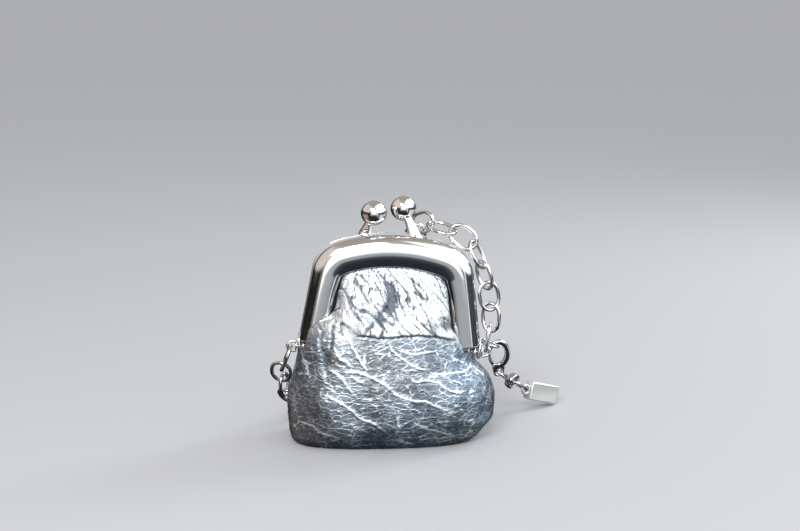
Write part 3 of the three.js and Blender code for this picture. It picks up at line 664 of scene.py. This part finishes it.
def frame_edge(count):
    """Points along the frame's outer edge, and the outward direction at each, left to right."""
    crest_centre = FRAME_HEIGHT - CREST_RADIUS
    slant = math.hypot(1, SIDE_SLOPE)
    inner = FRAME_HALF_WIDTH - SHOULDER_RADIUS * slant
    reach = CREST_RADIUS - SHOULDER_RADIUS
    half = inner * SIDE_SLOPE + crest_centre
    root = half ** 2 - slant ** 2 * (inner ** 2 + crest_centre ** 2 - reach ** 2)
    shoulder_z = (half + math.sqrt(root)) / slant ** 2
    shoulder_x = inner - SIDE_SLOPE * shoulder_z
    leg_angle = math.atan(SIDE_SLOPE)
    crest_angle = math.atan2(shoulder_z - crest_centre, shoulder_x)
    shoulder = np.array([shoulder_x, shoulder_z])
    foot = np.array([FRAME_HALF_WIDTH - SIDE_SLOPE * LEG_START, LEG_START])
    knee = shoulder + SHOULDER_RADIUS * heading(leg_angle)
    lengths = np.array([
        CREST_RADIUS * (math.pi / 2 - crest_angle),
        SHOULDER_RADIUS * (crest_angle - leg_angle),
        np.linalg.norm(knee - foot),
    ])
    ends = np.cumsum(lengths)
    points, outward = [], []
    for way in np.linspace(-ends[-1], ends[-1], count):
        s, hand = abs(way), -1 if way < 0 else 1
        if s < ends[0]:
            angle = math.pi / 2 - s / CREST_RADIUS
            centre, radius = np.array([0, crest_centre]), CREST_RADIUS
        elif s < ends[1]:
            angle = crest_angle - (s - ends[0]) / SHOULDER_RADIUS
            centre, radius = shoulder, SHOULDER_RADIUS
        else:
            angle, radius = leg_angle, 0
            centre = knee + (foot - knee) * (s - ends[1]) / lengths[2]
        points.append((centre + radius * heading(angle)) * (hand, 1))
        outward.append(heading(angle) * (hand, 1))
    return np.array(points), np.array(outward)


def outward_mesh(mesh):
    """The mesh with every face turned outwards."""
    shape = bmesh.new()
    shape.from_mesh(mesh)
    bmesh.ops.recalc_face_normals(shape, faces=shape.faces)
    shape.to_mesh(mesh)
    shape.free()
    mesh.shade_smooth()
    return mesh


def made_mesh(name, points, faces):
    mesh = bpy.data.meshes.new(name)
    mesh.from_pydata((np.asarray(points) / MM_IN_M).tolist(), [], faces)
    return outward_mesh(mesh)


def full_turn(count):
    """Angles all the way round, evenly spaced."""
    return np.linspace(0, 2 * math.pi, count, endpoint=False)


def flat_circle(angle):
    """The points at these angles of a circle of radius 1, lying flat."""
    return np.column_stack([np.cos(angle), np.sin(angle), 0 * angle])


def grid_mesh(name, rings, closed_along=False):
    """A closed skin through rings of points, in millimetres."""
    rings = np.asarray(rings, float)
    faces = ring_faces(*rings.shape[:2], closed_along)
    return made_mesh(name, rings.reshape(-1, 3), faces)


def in_frame(points):
    """From the frame's own axes, x across, y through and z above the hinges, to the bag's."""
    points = np.asarray(points, float)
    return leaned(points, points[..., 0], points[..., 2], FRAME_LEAN)


def channel_mesh(side):
    outline = np.vstack([curve_through(CHANNEL_OUTSIDE, 5), curve_through(CHANNEL_INSIDE, 3)])
    outline[:, 0] = np.maximum(outline[:, 0], 0)
    outline = eased_corners(outline)
    points, outward = frame_edge(FRAME_STATIONS)
    band = BAND_SIDE + (BAND_TOP - BAND_SIDE) * smoothstep(12, 23, points[:, 1])
    depth = outline[None, :, 0]
    inward = np.where(depth <= CHANNEL_WALL, depth, depth / CHANNEL_DEPTH * band[:, None])
    flat = points[:, None, :] - outward[:, None, :] * inward[..., None]
    forward = np.broadcast_to(side * outline[None, :, 1], inward.shape)
    return grid_mesh("channel", in_frame(np.stack([flat[..., 0], forward, flat[..., 1]], -1)))


def plate_mesh(outline, near, far, bevel=0.12):
    """A flat plate across x, from one x to another, with an outline in y and z and eased edges."""
    outline = np.array(outline, float)
    middle = outline.mean(axis=0)
    inset = middle + (outline - middle) * (1 - bevel / np.linalg.norm(outline - middle, axis=1).mean())
    low, high = min(near, far), max(near, far)
    rings = []
    for x, flat in ((low, inset), (low + bevel, outline), (high - bevel, outline), (high, inset)):
        rings.append(np.column_stack([np.full(len(flat), x), flat]))
    return grid_mesh("plate", in_frame(rings))


EAR_RADIUS = 1.7
EAR_PLATE = 0.6
EAR_TOP = LEG_START + 1.2
EAR_REACH = {-1: 19.0, 1: 18.0}


def ear_mesh(side, hand):
    sweep = np.linspace(0, 1.5 * math.pi - 0.09, 30)
    disc = [(side * EAR_RADIUS * math.cos(a), -EAR_RADIUS * math.sin(a)) for a in sweep]
    neck = [(side * JOINT_GAP, EAR_TOP), (side * EAR_RADIUS, EAR_TOP)]
    near = hand * EAR_REACH[side]
    return plate_mesh(disc + neck, near, near + hand * EAR_PLATE)


def bridge_mesh(side, hand):
    """The fold that carries an ear on the channel's wall."""
    near, far, low = side * JOINT_GAP, side * EAR_RADIUS, LEG_START + 0.4
    outline = [(near, low), (far, low), (far, EAR_TOP), (near, EAR_TOP)]
    reach = FRAME_HALF_WIDTH - SIDE_SLOPE * LEG_START - 0.1
    return plate_mesh(outline, hand * EAR_REACH[side], hand * reach, 0.08)


STEMS = {
    # foot on the roof (x, y), and the ball's middle, in the bag's axes
    -1: ((6.0, -1.9), (3.55, 0.9, 50.0)),
    1: ((-4.9, 1.9), (-2.8, -0.9, 49.3)),
}
BALL_RADIUS = 2.75
STEM_SIDES = 28
STEM_RINGS = 26
STEM_TAPER = 2.2
STEM_FOOT = (3.0, 1.6)
STEM_NECK = (1.7, 1.5)


def crest_height(x):
    across = x - HINGE.x - FRAME_HEIGHT * math.sin(FRAME_LEAN)
    rise = FRAME_HEIGHT - CREST_RADIUS + math.sqrt(CREST_RADIUS ** 2 - across ** 2)
    return HINGE.z + rise * math.cos(FRAME_LEAN) - across * math.sin(FRAME_LEAN)


def stem_mesh(side):
    foot, ball = STEMS[side]
    bottom = np.array([*foot, crest_height(foot[0]) - 0.35])
    rings = []
    for share in np.linspace(0, 1, STEM_RINGS):
        reach = (1 - share) ** STEM_TAPER
        flare = 0.5 * math.exp(-share * 26)
        middle = bottom + (np.array(ball) - bottom) * share * 0.9
        wide = (STEM_NECK[0] + (STEM_FOOT[0] - STEM_NECK[0]) * reach) / 2 + flare * 0.5
        deep = (STEM_NECK[1] + (STEM_FOOT[1] - STEM_NECK[1]) * reach) / 2 + flare * 0.3
        ring = middle + flat_circle(full_turn(STEM_SIDES)) * (wide, deep, 0)
        if share == 0:
            ring[:, 2] += [crest_height(x) - crest_height(foot[0]) for x in ring[:, 0]]
        rings.append(ring)
    return grid_mesh("stem", rings)


def ball_mesh(side):
    shape = bmesh.new()
    bmesh.ops.create_uvsphere(
        shape, u_segments=56, v_segments=36, radius=BALL_RADIUS / MM_IN_M,
        matrix=Matrix.Translation(Vector(STEMS[side][1]) / MM_IN_M),
    )
    mesh = bpy.data.meshes.new("ball")
    shape.to_mesh(mesh)
    shape.free()
    mesh.shade_smooth()
    return mesh


def together(name, meshes):
    """Several closed meshes as one."""
    shape = bmesh.new()
    for mesh in meshes:
        shape.from_mesh(mesh)
    whole = bpy.data.meshes.new(name)
    shape.to_mesh(whole)
    shape.free()
    return whole


WIPE_DEPTH = 0.05


def polished_metal(name, colour, roughness, haze, scratch_scale=900.0, metallic=1.0):
    """Plated metal: nearly a mirror, with faint wiping marks and a slight haze in patches."""
    material, shader, node = new_material(name)
    coords = node("ShaderNodeTexCoord", output="Object")
    stretched = node("ShaderNodeMapping", {"Vector": coords, "Scale": (1.0, 1.0, 0.25)})
    wiping = node("ShaderNodeTexNoise", {
        "Vector": stretched, "Scale": scratch_scale, "Detail": 4.0, "Roughness": 0.7,
    }, "Fac")
    bloom = node("ShaderNodeTexNoise", {"Vector": coords, "Scale": 130.0, "Detail": 3.0}, "Fac")
    dull = bloom.between(0.45, 0.75).clamped()
    darker = tuple(0.82 * tone for tone in colour)
    tint = (dull * 0.6).mixed((*colour, 1), (*darker, 1))
    rough = dull * haze + wiping * 0.04 + roughness
    normal = node("ShaderNodeBump", {"Height": wiping, "Strength": 0.06, "Distance": WIPE_DEPTH / MM_IN_M})
    set_shader(shader, base_color=tint, metallic=metallic, roughness=rough, normal=normal)
    return material


frame_chrome = polished_metal("nickel_chrome", (0.84, 0.83, 0.82), 0.07, 0.08)
for side, half in ((-1, "front"), (1, "back")):
    fixings = [part(side, hand) for part in (ear_mesh, bridge_mesh) for hand in (-1, 1)]
    body = together(f"frame_{half}", [channel_mesh(side), *fixings])
    piece_from(f"channel_{half}", body, frame_chrome, "frame_chrome", f"frame_{half}")
    knob = together("ball", [stem_mesh(side), ball_mesh(side)])
    piece_from(f"ball_{half}", knob, frame_chrome, "frame_chrome", f"frame_{half}")


# ---- hinge rivets ----
# A rivet turned from brass and nickel-plated goes through both ears and is headed over inside.
# Its outer head has a half-round eye of wire, in which the chain hangs.
SHANK_RADIUS = 0.5
HEAD_RADIUS = 1.25
HEAD_THICK = 0.3
HEAD_STAND = 0.25
EYE_OPEN = 1.35
EYE_HALF = 1.3
EYE_WIRE = 0.3


def turned_mesh(profile, hand, sides=36):
    """A turned piece along x, from a profile of places along it and radii."""
    angle = full_turn(sides)
    rings = [
        np.column_stack([np.full(sides, hand * x), r * np.cos(angle), r * np.sin(angle)])
        for x, r in profile
    ]
    return grid_mesh("turned", in_frame(rings))


def planar_sweep(points, normal, in_plane, across, closed, sides=14, power=2.0):
    """A bar along a flat curve, with a rounded section of given half-sizes in its plane and across."""
    points = np.asarray(points, float)
    normal = np.asarray(normal, float) / np.linalg.norm(normal)
    if closed:
        along = np.roll(points, -1, axis=0) - np.roll(points, 1, axis=0)
    else:
        along = np.gradient(points, axis=0)
    side = np.cross(along, normal)
    side /= np.linalg.norm(side, axis=1, keepdims=True)
    angle = full_turn(sides)
    flat = np.sign(np.cos(angle)) * np.abs(np.cos(angle)) ** (2 / power)
    tall = np.sign(np.sin(angle)) * np.abs(np.sin(angle)) ** (2 / power)
    in_plane = np.broadcast_to(in_plane, len(points))
    across = np.broadcast_to(across, len(points))
    rings = points[:, None, :] + in_plane[:, None, None] * flat[None, :, None] * side[:, None, :]
    return rings + across[:, None, None] * tall[None, :, None] * normal


def rivet_mesh(hand):
    head_in = EAR_REACH[-1] + EAR_PLATE + HEAD_STAND
    head_out = head_in + HEAD_THICK
    tail_out = EAR_REACH[1] - 0.3
    profile = [
        (tail_out - HEAD_THICK, 0.35), (tail_out - 0.2, 0.75), (tail_out - 0.06, 0.9), (tail_out, 0.85),
        (tail_out + 0.01, SHANK_RADIUS), (head_in - 0.01, SHANK_RADIUS),
        (head_in, HEAD_RADIUS - 0.07), (head_in + 0.07, HEAD_RADIUS),
        (head_out - 0.12, HEAD_RADIUS - 0.02), (head_out - 0.03, HEAD_RADIUS - 0.16),
        (head_out, HEAD_RADIUS - 0.4), (head_out + 0.02, 0.1),
    ]
    angle = np.linspace(-math.pi / 2, math.pi / 2, 34)
    eye_x = hand * (head_out - 0.1 + (EYE_OPEN + EYE_WIRE + 0.1) * np.cos(angle))
    eye_z = (EYE_HALF - 0.2 * np.abs(np.sin(angle))) * np.sin(angle)
    path = np.column_stack([eye_x, 0 * angle, eye_z])
    eye = planar_sweep(path, (0, 1, 0), EYE_WIRE, EYE_WIRE, False)
    return together("rivet", [turned_mesh(profile, hand), grid_mesh("eye", in_frame(eye))])


for hand, name in ((-1, "left"), (1, "right")):
    piece_from(f"rivet_{name}", rivet_mesh(hand), frame_chrome, "frame_chrome", f"hinge_rivet_{name}")


# ---- cable chain ----
# Oval links of 0.8 mm plated wire, each closed with a butt joint and hung in the one before. The
# first and the last hang in the rivets' eyes.
LINK = {"Half Length": 3.1, "Half Width": 2.1, "Wire Radius": 0.4}
LINK_STEPS = 48
WIRE_SIDES = 14


def node_axes(name):
    """A ring-like CAD node's middle, and its axes from longest to shortest."""
    points = np.array([vertex.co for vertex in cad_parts[name].data.vertices])
    middle = (points.min(axis=0) + points.max(axis=0)) / 2
    axes = np.linalg.eigh(np.cov(points.T))[1]
    longest, shortest = axes[:, 2], axes[:, 0]
    across = np.cross(shortest, longest)
    return Vector(middle), Matrix(np.column_stack([longest, across, shortest]).tolist())


def link_tree():
    """Geometry nodes that put an oval wire link at each point, turned as its attribute says."""
    tree = bpy.data.node_groups.new("oval_links", "GeometryNodeTree")
    kinds = {"Geometry": "Geometry", **dict.fromkeys(LINK, "Float"), "Material": "Material"}
    for name, kind in kinds.items():
        tree.interface.new_socket(name, in_out="INPUT", socket_type=f"NodeSocket{kind}")
    tree.interface.new_socket("Geometry", in_out="OUTPUT", socket_type="NodeSocketGeometry")
    given = tree.nodes.new("NodeGroupInput")
    inputs = (Socket(tree, given.outputs[name]) for name in kinds)
    places, half_length, half_width, wire_radius, metal = inputs
    node = partial(Socket.node, tree)

    circle = node("GeometryNodeCurvePrimitiveCircle", {"Resolution": LINK_STEPS, "Radius": half_width})
    place = node("GeometryNodeInputPosition")
    share = node("ShaderNodeSeparateXYZ", {0: place}, "X") / half_width
    pull = share.maths("SIGN") * share.maths("ABSOLUTE").maths("SQRT")
    offset = node("ShaderNodeCombineXYZ", {"X": pull * (half_length - half_width)})
    oval = node("GeometryNodeSetPosition", {"Geometry": circle, "Offset": offset})
    section = node("GeometryNodeCurvePrimitiveCircle", {"Resolution": WIRE_SIDES, "Radius": wire_radius})
    wire = node("GeometryNodeCurveToMesh", {"Curve": oval, "Profile Curve": section})
    turn = node("GeometryNodeInputNamedAttribute", {"Name": "turn"}, "Attribute", data_type="FLOAT_VECTOR")
    rotation = node("FunctionNodeEulerToRotation", {0: turn})
    copies = node("GeometryNodeInstanceOnPoints", {
        "Points": places, "Instance": wire, "Rotation": rotation,
    })
    real = node("GeometryNodeRealizeInstances", {0: copies})
    smooth = node("GeometryNodeSetShadeSmooth", {"Geometry": real})
    plated = node("GeometryNodeSetMaterial", {"Geometry": smooth, "Material": metal})
    tree.links.new(plated.output, tree.nodes.new("NodeGroupOutput").inputs[0])
    return tree


def links_mesh(nodes, sizes, material):
    """Links where these CAD nodes are, as one plain mesh."""
    points, turns = [], []
    for node in nodes:
        middle, axes = node_axes(node)
        points.append(middle)
        turns += axes.to_euler()
    seed = bpy.data.meshes.new("link_places")
    seed.from_pydata(points, [], [])
    seed.attributes.new("turn", "FLOAT_VECTOR", "POINT").data.foreach_set("vector", turns)
    maker = new_object("link_maker", seed)
    modifier = maker.modifiers.new("links", "NODES")
    modifier.node_group = oval_links
    items = [item for item in oval_links.interface.items_tree if item.in_out == "INPUT"]
    sockets = {item.name: item.identifier for item in items}
    for name, millimetres in sizes.items():
        modifier[sockets[name]] = millimetres / MM_IN_M
    modifier[sockets["Material"]] = material
    shown = maker.evaluated_get(bpy.context.evaluated_depsgraph_get())
    mesh = bpy.data.meshes.new_from_object(shown)
    bpy.data.objects.remove(maker)
    return outward_mesh(mesh)


oval_links = link_tree()
chain_metal = polished_metal("nickel_wire", (0.66, 0.65, 0.64), 0.09, 0.10, 1400.0)
chain_nodes = sorted(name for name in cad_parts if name.startswith("chain_link_"))
chain_mesh = links_mesh(chain_nodes, LINK, chain_metal)
piece_from("cable_chain", chain_mesh, chain_metal, "chain_metal", *chain_nodes)


# ---- trigger clasp ----
# A die-cast claw with a sprung lever across its open side, and an eye in its flat tail. A jump
# ring of plated wire hangs it on the last link of the chain.
CLASP_AT = Vector((24.6, 3.1, 17.2))
CLASP_UP = Vector((-0.06, -0.42, 0.9)).normalized()
CLAW_OUTER = (3.9, 2.5)
CLAW_INNER = (2.7, 1.45)
CLAW_SHIFT = (0.1, 0.15)
CLAW_HALF_THICK = 0.5
CLAW_STEPS = 60
TAIL_REACH = 5.2
TAIL_RADIUS = 1.12
TAIL_HOLE = 0.66
TAIL_HALF_THICK = 0.33
RING_WIRE = 0.3
RING_RADIUS = 2.0


def placed(points, at, along, facing):
    """From a piece's own axes to the bag's: x along it, z the way that it faces."""
    along = along.normalized()
    lift = (facing - along * facing.dot(along)).normalized()
    axes = np.column_stack([along, lift.cross(along), lift])
    return np.asarray(points, float) @ axes.T + np.array(at)


def claw_bar(start, end, slim, half_thick, taper):
    """Part of the claw between two directions in degrees, drawn with its length along x."""
    angle = np.radians(np.linspace(start, end, CLAW_STEPS))
    direction = flat_circle(angle)[:, :2]
    outer = direction * CLAW_OUTER
    inner = direction * CLAW_INNER + CLAW_SHIFT
    middle = (outer + inner) / 2
    half = np.linalg.norm(outer - inner, axis=1) / 2 - slim
    share = np.linspace(0, 1, CLAW_STEPS)
    half = half * (1 - taper * smoothstep(0.82, 1.0, share) * 0.45)
    flat = np.column_stack([middle, np.zeros(CLAW_STEPS)])
    return planar_sweep(flat, (0, 0, 1), half, half_thick, False, sides=20, power=2.8)


def tail_rings():
    """The flat tail with its eye, as sections round the eye."""
    rings = []
    for angle in full_turn(56):
        direction = heading(angle)
        edge = TAIL_RADIUS
        if direction[0] > 0.05:
            widening = TAIL_RADIUS + 0.35 * max(0, direction[0])
            edge = min(widening / max(abs(direction[1]), 1e-6), 2.5 / direction[0])
        half = [(edge, 0.2), (edge - 0.12, TAIL_HALF_THICK), (TAIL_HOLE + 0.05, TAIL_HALF_THICK)]
        below = [(r, -t) for r, t in half[::-1]]
        section = below + half + [(TAIL_HOLE, 0.2), (TAIL_HOLE, -0.2)]
        rings.append([(-TAIL_REACH + direction[0] * r, direction[1] * r, t) for r, t in section])
    return np.array(rings)


def on_clasp(points):
    return placed(points, CLASP_AT, CLASP_UP, Vector((0, -1, 0)))


clasp_chrome = polished_metal("cast_chrome", (0.78, 0.78, 0.78), 0.11, 0.08)
hook = together("hook", [
    grid_mesh("claw", on_clasp(claw_bar(-178, 62, 0, CLAW_HALF_THICK, 1))),
    grid_mesh("tail", on_clasp(tail_rings()), closed_along=True),
])
piece_from("clasp_claw", hook, clasp_chrome, "clasp_chrome", "clasp_hook")
lever = grid_mesh("lever", on_clasp(claw_bar(71, 146, 0.14, 0.33, 0)))
piece_from("clasp_trigger", lever, clasp_chrome, "clasp_chrome", "clasp_lever")


def ring_mesh(node, radius, in_plane, across, power=2.0):
    """A round ring where a CAD node is, in its plane."""
    middle, axes = node_axes(node)
    flat = radius * flat_circle(full_turn(64))
    rings = planar_sweep(flat, (0, 0, 1), in_plane, across, True, sides=16, power=power)
    points = rings @ np.array(axes).T + np.array(middle) * MM_IN_M
    return grid_mesh("ring", points, closed_along=True)


jump_ring = ring_mesh("clasp_ring", RING_RADIUS, RING_WIRE, RING_WIRE)
piece_from("clasp_jump_ring", jump_ring, chain_metal, "chain_metal", "clasp_ring")


# ---- bar tag ----
# A plain plated bar with a loop of wire at one end. Two slim links, with a broad band between
# them, tie it to the eye of the clasp.
SLIM_LINK = {"Half Length": 3.75, "Half Width": 1.6, "Wire Radius": 0.27}
BAND_RADIUS = 1.58
BAND_HALF_WALL = 0.27
BAND_HALF_WIDTH = 0.7
BAND_SQUARENESS = 3.2
TAG_SIZE = (8.6, 4.2, 2.4)
TAG_EDGE = 0.3
TAG_FREE_END = Vector((41.0, 20.6, 0.15))
TAG_LOOP_END = Vector((33.7, 16.0, 2.8))
TAG_LOOP_RADIUS = 1.0
TAG_LOOP_INSET = 0.8
TAG_LOOP_WIRE = 0.3

for node in ("tag_link_upper", "tag_link_lower"):
    slim_link = links_mesh([node], SLIM_LINK, chain_metal)
    piece_from(f"slim_{node}", slim_link, chain_metal, "chain_metal", node)
broad_band = ring_mesh("tag_band", BAND_RADIUS, BAND_HALF_WALL, BAND_HALF_WIDTH, BAND_SQUARENESS)
piece_from("broad_band", broad_band, chain_metal, "chain_metal", "tag_band")


def bar_mesh():
    """A bar with rounded edges, from x = 0 along x."""
    long, tall, thick = TAG_SIZE
    shape = bmesh.new()
    size = Matrix.Diagonal((long, tall, thick, 1))
    bmesh.ops.create_cube(shape, size=1, matrix=Matrix.Translation((long / 2, 0, 0)) @ size)
    bmesh.ops.bevel(shape, geom=shape.edges[:], offset=TAG_EDGE, segments=4, profile=0.5, affect="EDGES")
    points = np.array([vertex.co for vertex in shape.verts])
    faces = [[vertex.index for vertex in face.verts] for face in shape.faces]
    shape.free()
    return points, faces


tag_along = (TAG_FREE_END - TAG_LOOP_END).normalized()
tag_facing = Vector((0, 0, 1)).cross(tag_along).normalized()
tag_up = tag_along.cross(tag_facing)
tag_end = TAG_LOOP_END + tag_up * TAG_SIZE[1] / 2 + tag_facing * TAG_SIZE[2] / 2
bar_points, bar_faces = bar_mesh()
loop = TAG_LOOP_RADIUS * flat_circle(full_turn(40)) - (TAG_LOOP_INSET, 0, 0)
loop_rings = planar_sweep(loop, (0, 0, 1), TAG_LOOP_WIRE, TAG_LOOP_WIRE, True)
tag_metal = polished_metal("bare_tag_plate", (0.83, 0.84, 0.79), 0.26, 0.10, metallic=0.75)
tag = together("tag", [
    made_mesh("bar", placed(bar_points, tag_end, tag_along, tag_facing), bar_faces),
    grid_mesh("loop", placed(loop_rings, tag_end, tag_along, tag_facing), closed_along=True),
])
piece_from("bar_tag", tag, tag_metal, "tag_metal", "metal_tag")


# ---- floor and light ----
# A pale table under even, soft light. Bright metal sees a studio of its own: a window in front and
# one at the right, a warm wall at the left, and dark cards low at both sides, which give it edges.
FLOOR_HALF = 4000
FLOOR_TONE = (0.47, 0.47, 0.48, 1)
EVEN_LIGHT = (0.80, 0.81, 0.83, 1)
FAR_TONE = (0.418, 0.422, 0.438, 1)
STUDIO_BANDS = (
    # how high, from straight down to straight up, and the tone there
    (0.0, (0.010, 0.012, 0.018)), (0.32, (0.018, 0.021, 0.028)), (0.40, (0.055, 0.062, 0.075)),
    (0.47, (0.10, 0.105, 0.115)), (0.62, (0.13, 0.13, 0.135)), (0.78, (0.30, 0.265, 0.235)),
    (1.0, (0.27, 0.24, 0.215)),
)
STUDIO_CARDS = (
    # in degrees round from the front and up from level: start, end and softness; and the tone
    ((-170, -36, 3), (-40, 6, 4), (0.010, 0.009, 0.009)),
    ((38, 110, 3), (-40, 2, 3), (0.035, 0.038, 0.046)),
    ((-36, -24, 2), (-19, -6, 2), (0.19, 0.163, 0.146)),
    ((-24, 33, 2), (-19, -6, 2), (0.27, 0.295, 0.32)),
    ((-120, -27, 5), (6, 60, 5), (0.52, 0.46, 0.43)),
    ((24, 100, 7), (5, 62, 6), (1.75, 1.9, 2.0)),
    ((54, 108, 5), (-46, -14, 3), (0.50, 0.53, 0.55)),
    ((-120, -58, 6), (-42, -10, 5), (0.24, 0.19, 0.17)),
    ((32.5, 36, 1), (-34, 10, 2), (0.9, 0.95, 1.0)),
    ((150, 190, 5), (-6, 36, 5), (0.42, 0.44, 0.47)),
    ((-190, -150, 5), (-6, 36, 5), (0.42, 0.44, 0.47)),
    ((-23, 23, 3), (-8.5, 33, 1.5), (1.0, 1.0, 1.0)),
)

floor_mesh = bpy.data.meshes.new("floor")
half = FLOOR_HALF / MM_IN_M
corners = [(-half, -half, 0), (half, -half, 0), (half, half, 0), (-half, half, 0)]
floor_mesh.from_pydata(corners, [], [(0, 1, 2, 3)])
floor = new_object("floor", floor_mesh)
floor_paint, floor_shader, _ = new_material("pale_table")
set_shader(floor_shader, base_color=FLOOR_TONE, roughness=0.6)
floor_mesh.materials.append(floor_paint)
floor.visible_glossy = False


def soft_box(name, at, toward, size, watts, tint=(1, 1, 1)):
    light = bpy.data.lights.new(name, "AREA")
    light.shape = "RECTANGLE"
    light.size, light.size_y = (side / MM_IN_M for side in size)
    light.energy = watts
    light.color = tint
    lamp = new_object(name, light)
    lamp.location = Vector(at) / MM_IN_M
    lamp.rotation_euler = (Vector(toward) - Vector(at)).to_track_quat("-Z", "Y").to_euler()


soft_box("key", (-120, -460, 380), (0, 0, 25), (260, 160), 2.6)
soft_box("rim", (300, 160, 240), (0, 0, 25), (120, 220), 0.6, (0.92, 0.96, 1.0))

world = bpy.data.worlds.new("studio")
world.use_nodes = True
bpy.context.scene.world = world
sky = world.node_tree
sky.nodes.clear()
node = partial(Socket.node, sky)
direction = {"Vector": node("ShaderNodeTexCoord", output="Generated")}
across, deep, up = (node("ShaderNodeSeparateXYZ", direction, axis) for axis in "XYZ")
turned = across.maths("ARCTAN2", deep * -1)
raised = up.maths("ARCSINE")


def span(value, low, high, soft):
    """1 between two angles, in degrees, with soft ends."""
    low, high, soft = (math.radians(angle) for angle in (low, high, soft))
    rise = value.between(low - soft, low + soft).clamped()
    return rise * value.between(high - soft, high + soft, 1, 0).clamped()


height = raised.between(-math.pi / 2, math.pi / 2)
studio = node("ShaderNodeValToRGB", {"Fac": height}, stops=STUDIO_BANDS)
for around, upward, tone in STUDIO_CARDS:
    card = span(turned, *around) * span(raised, *upward)
    studio = card.mixed(studio, (*tone, 1))
glossy, seen = (node("ShaderNodeLightPath", output=ray) for ray in ("Is Glossy Ray", "Is Camera Ray"))
room = glossy.mixed(seen.mixed(EVEN_LIGHT, FAR_TONE), studio)
background = node("ShaderNodeBackground", {"Color": room, "Strength": glossy * 0.5 + 1.0})
sky.links.new(background.output, sky.nodes.new("ShaderNodeOutputWorld").inputs["Surface"])

bpy.context.scene.view_settings.view_transform = "Standard"
bpy.context.view_layer.update()
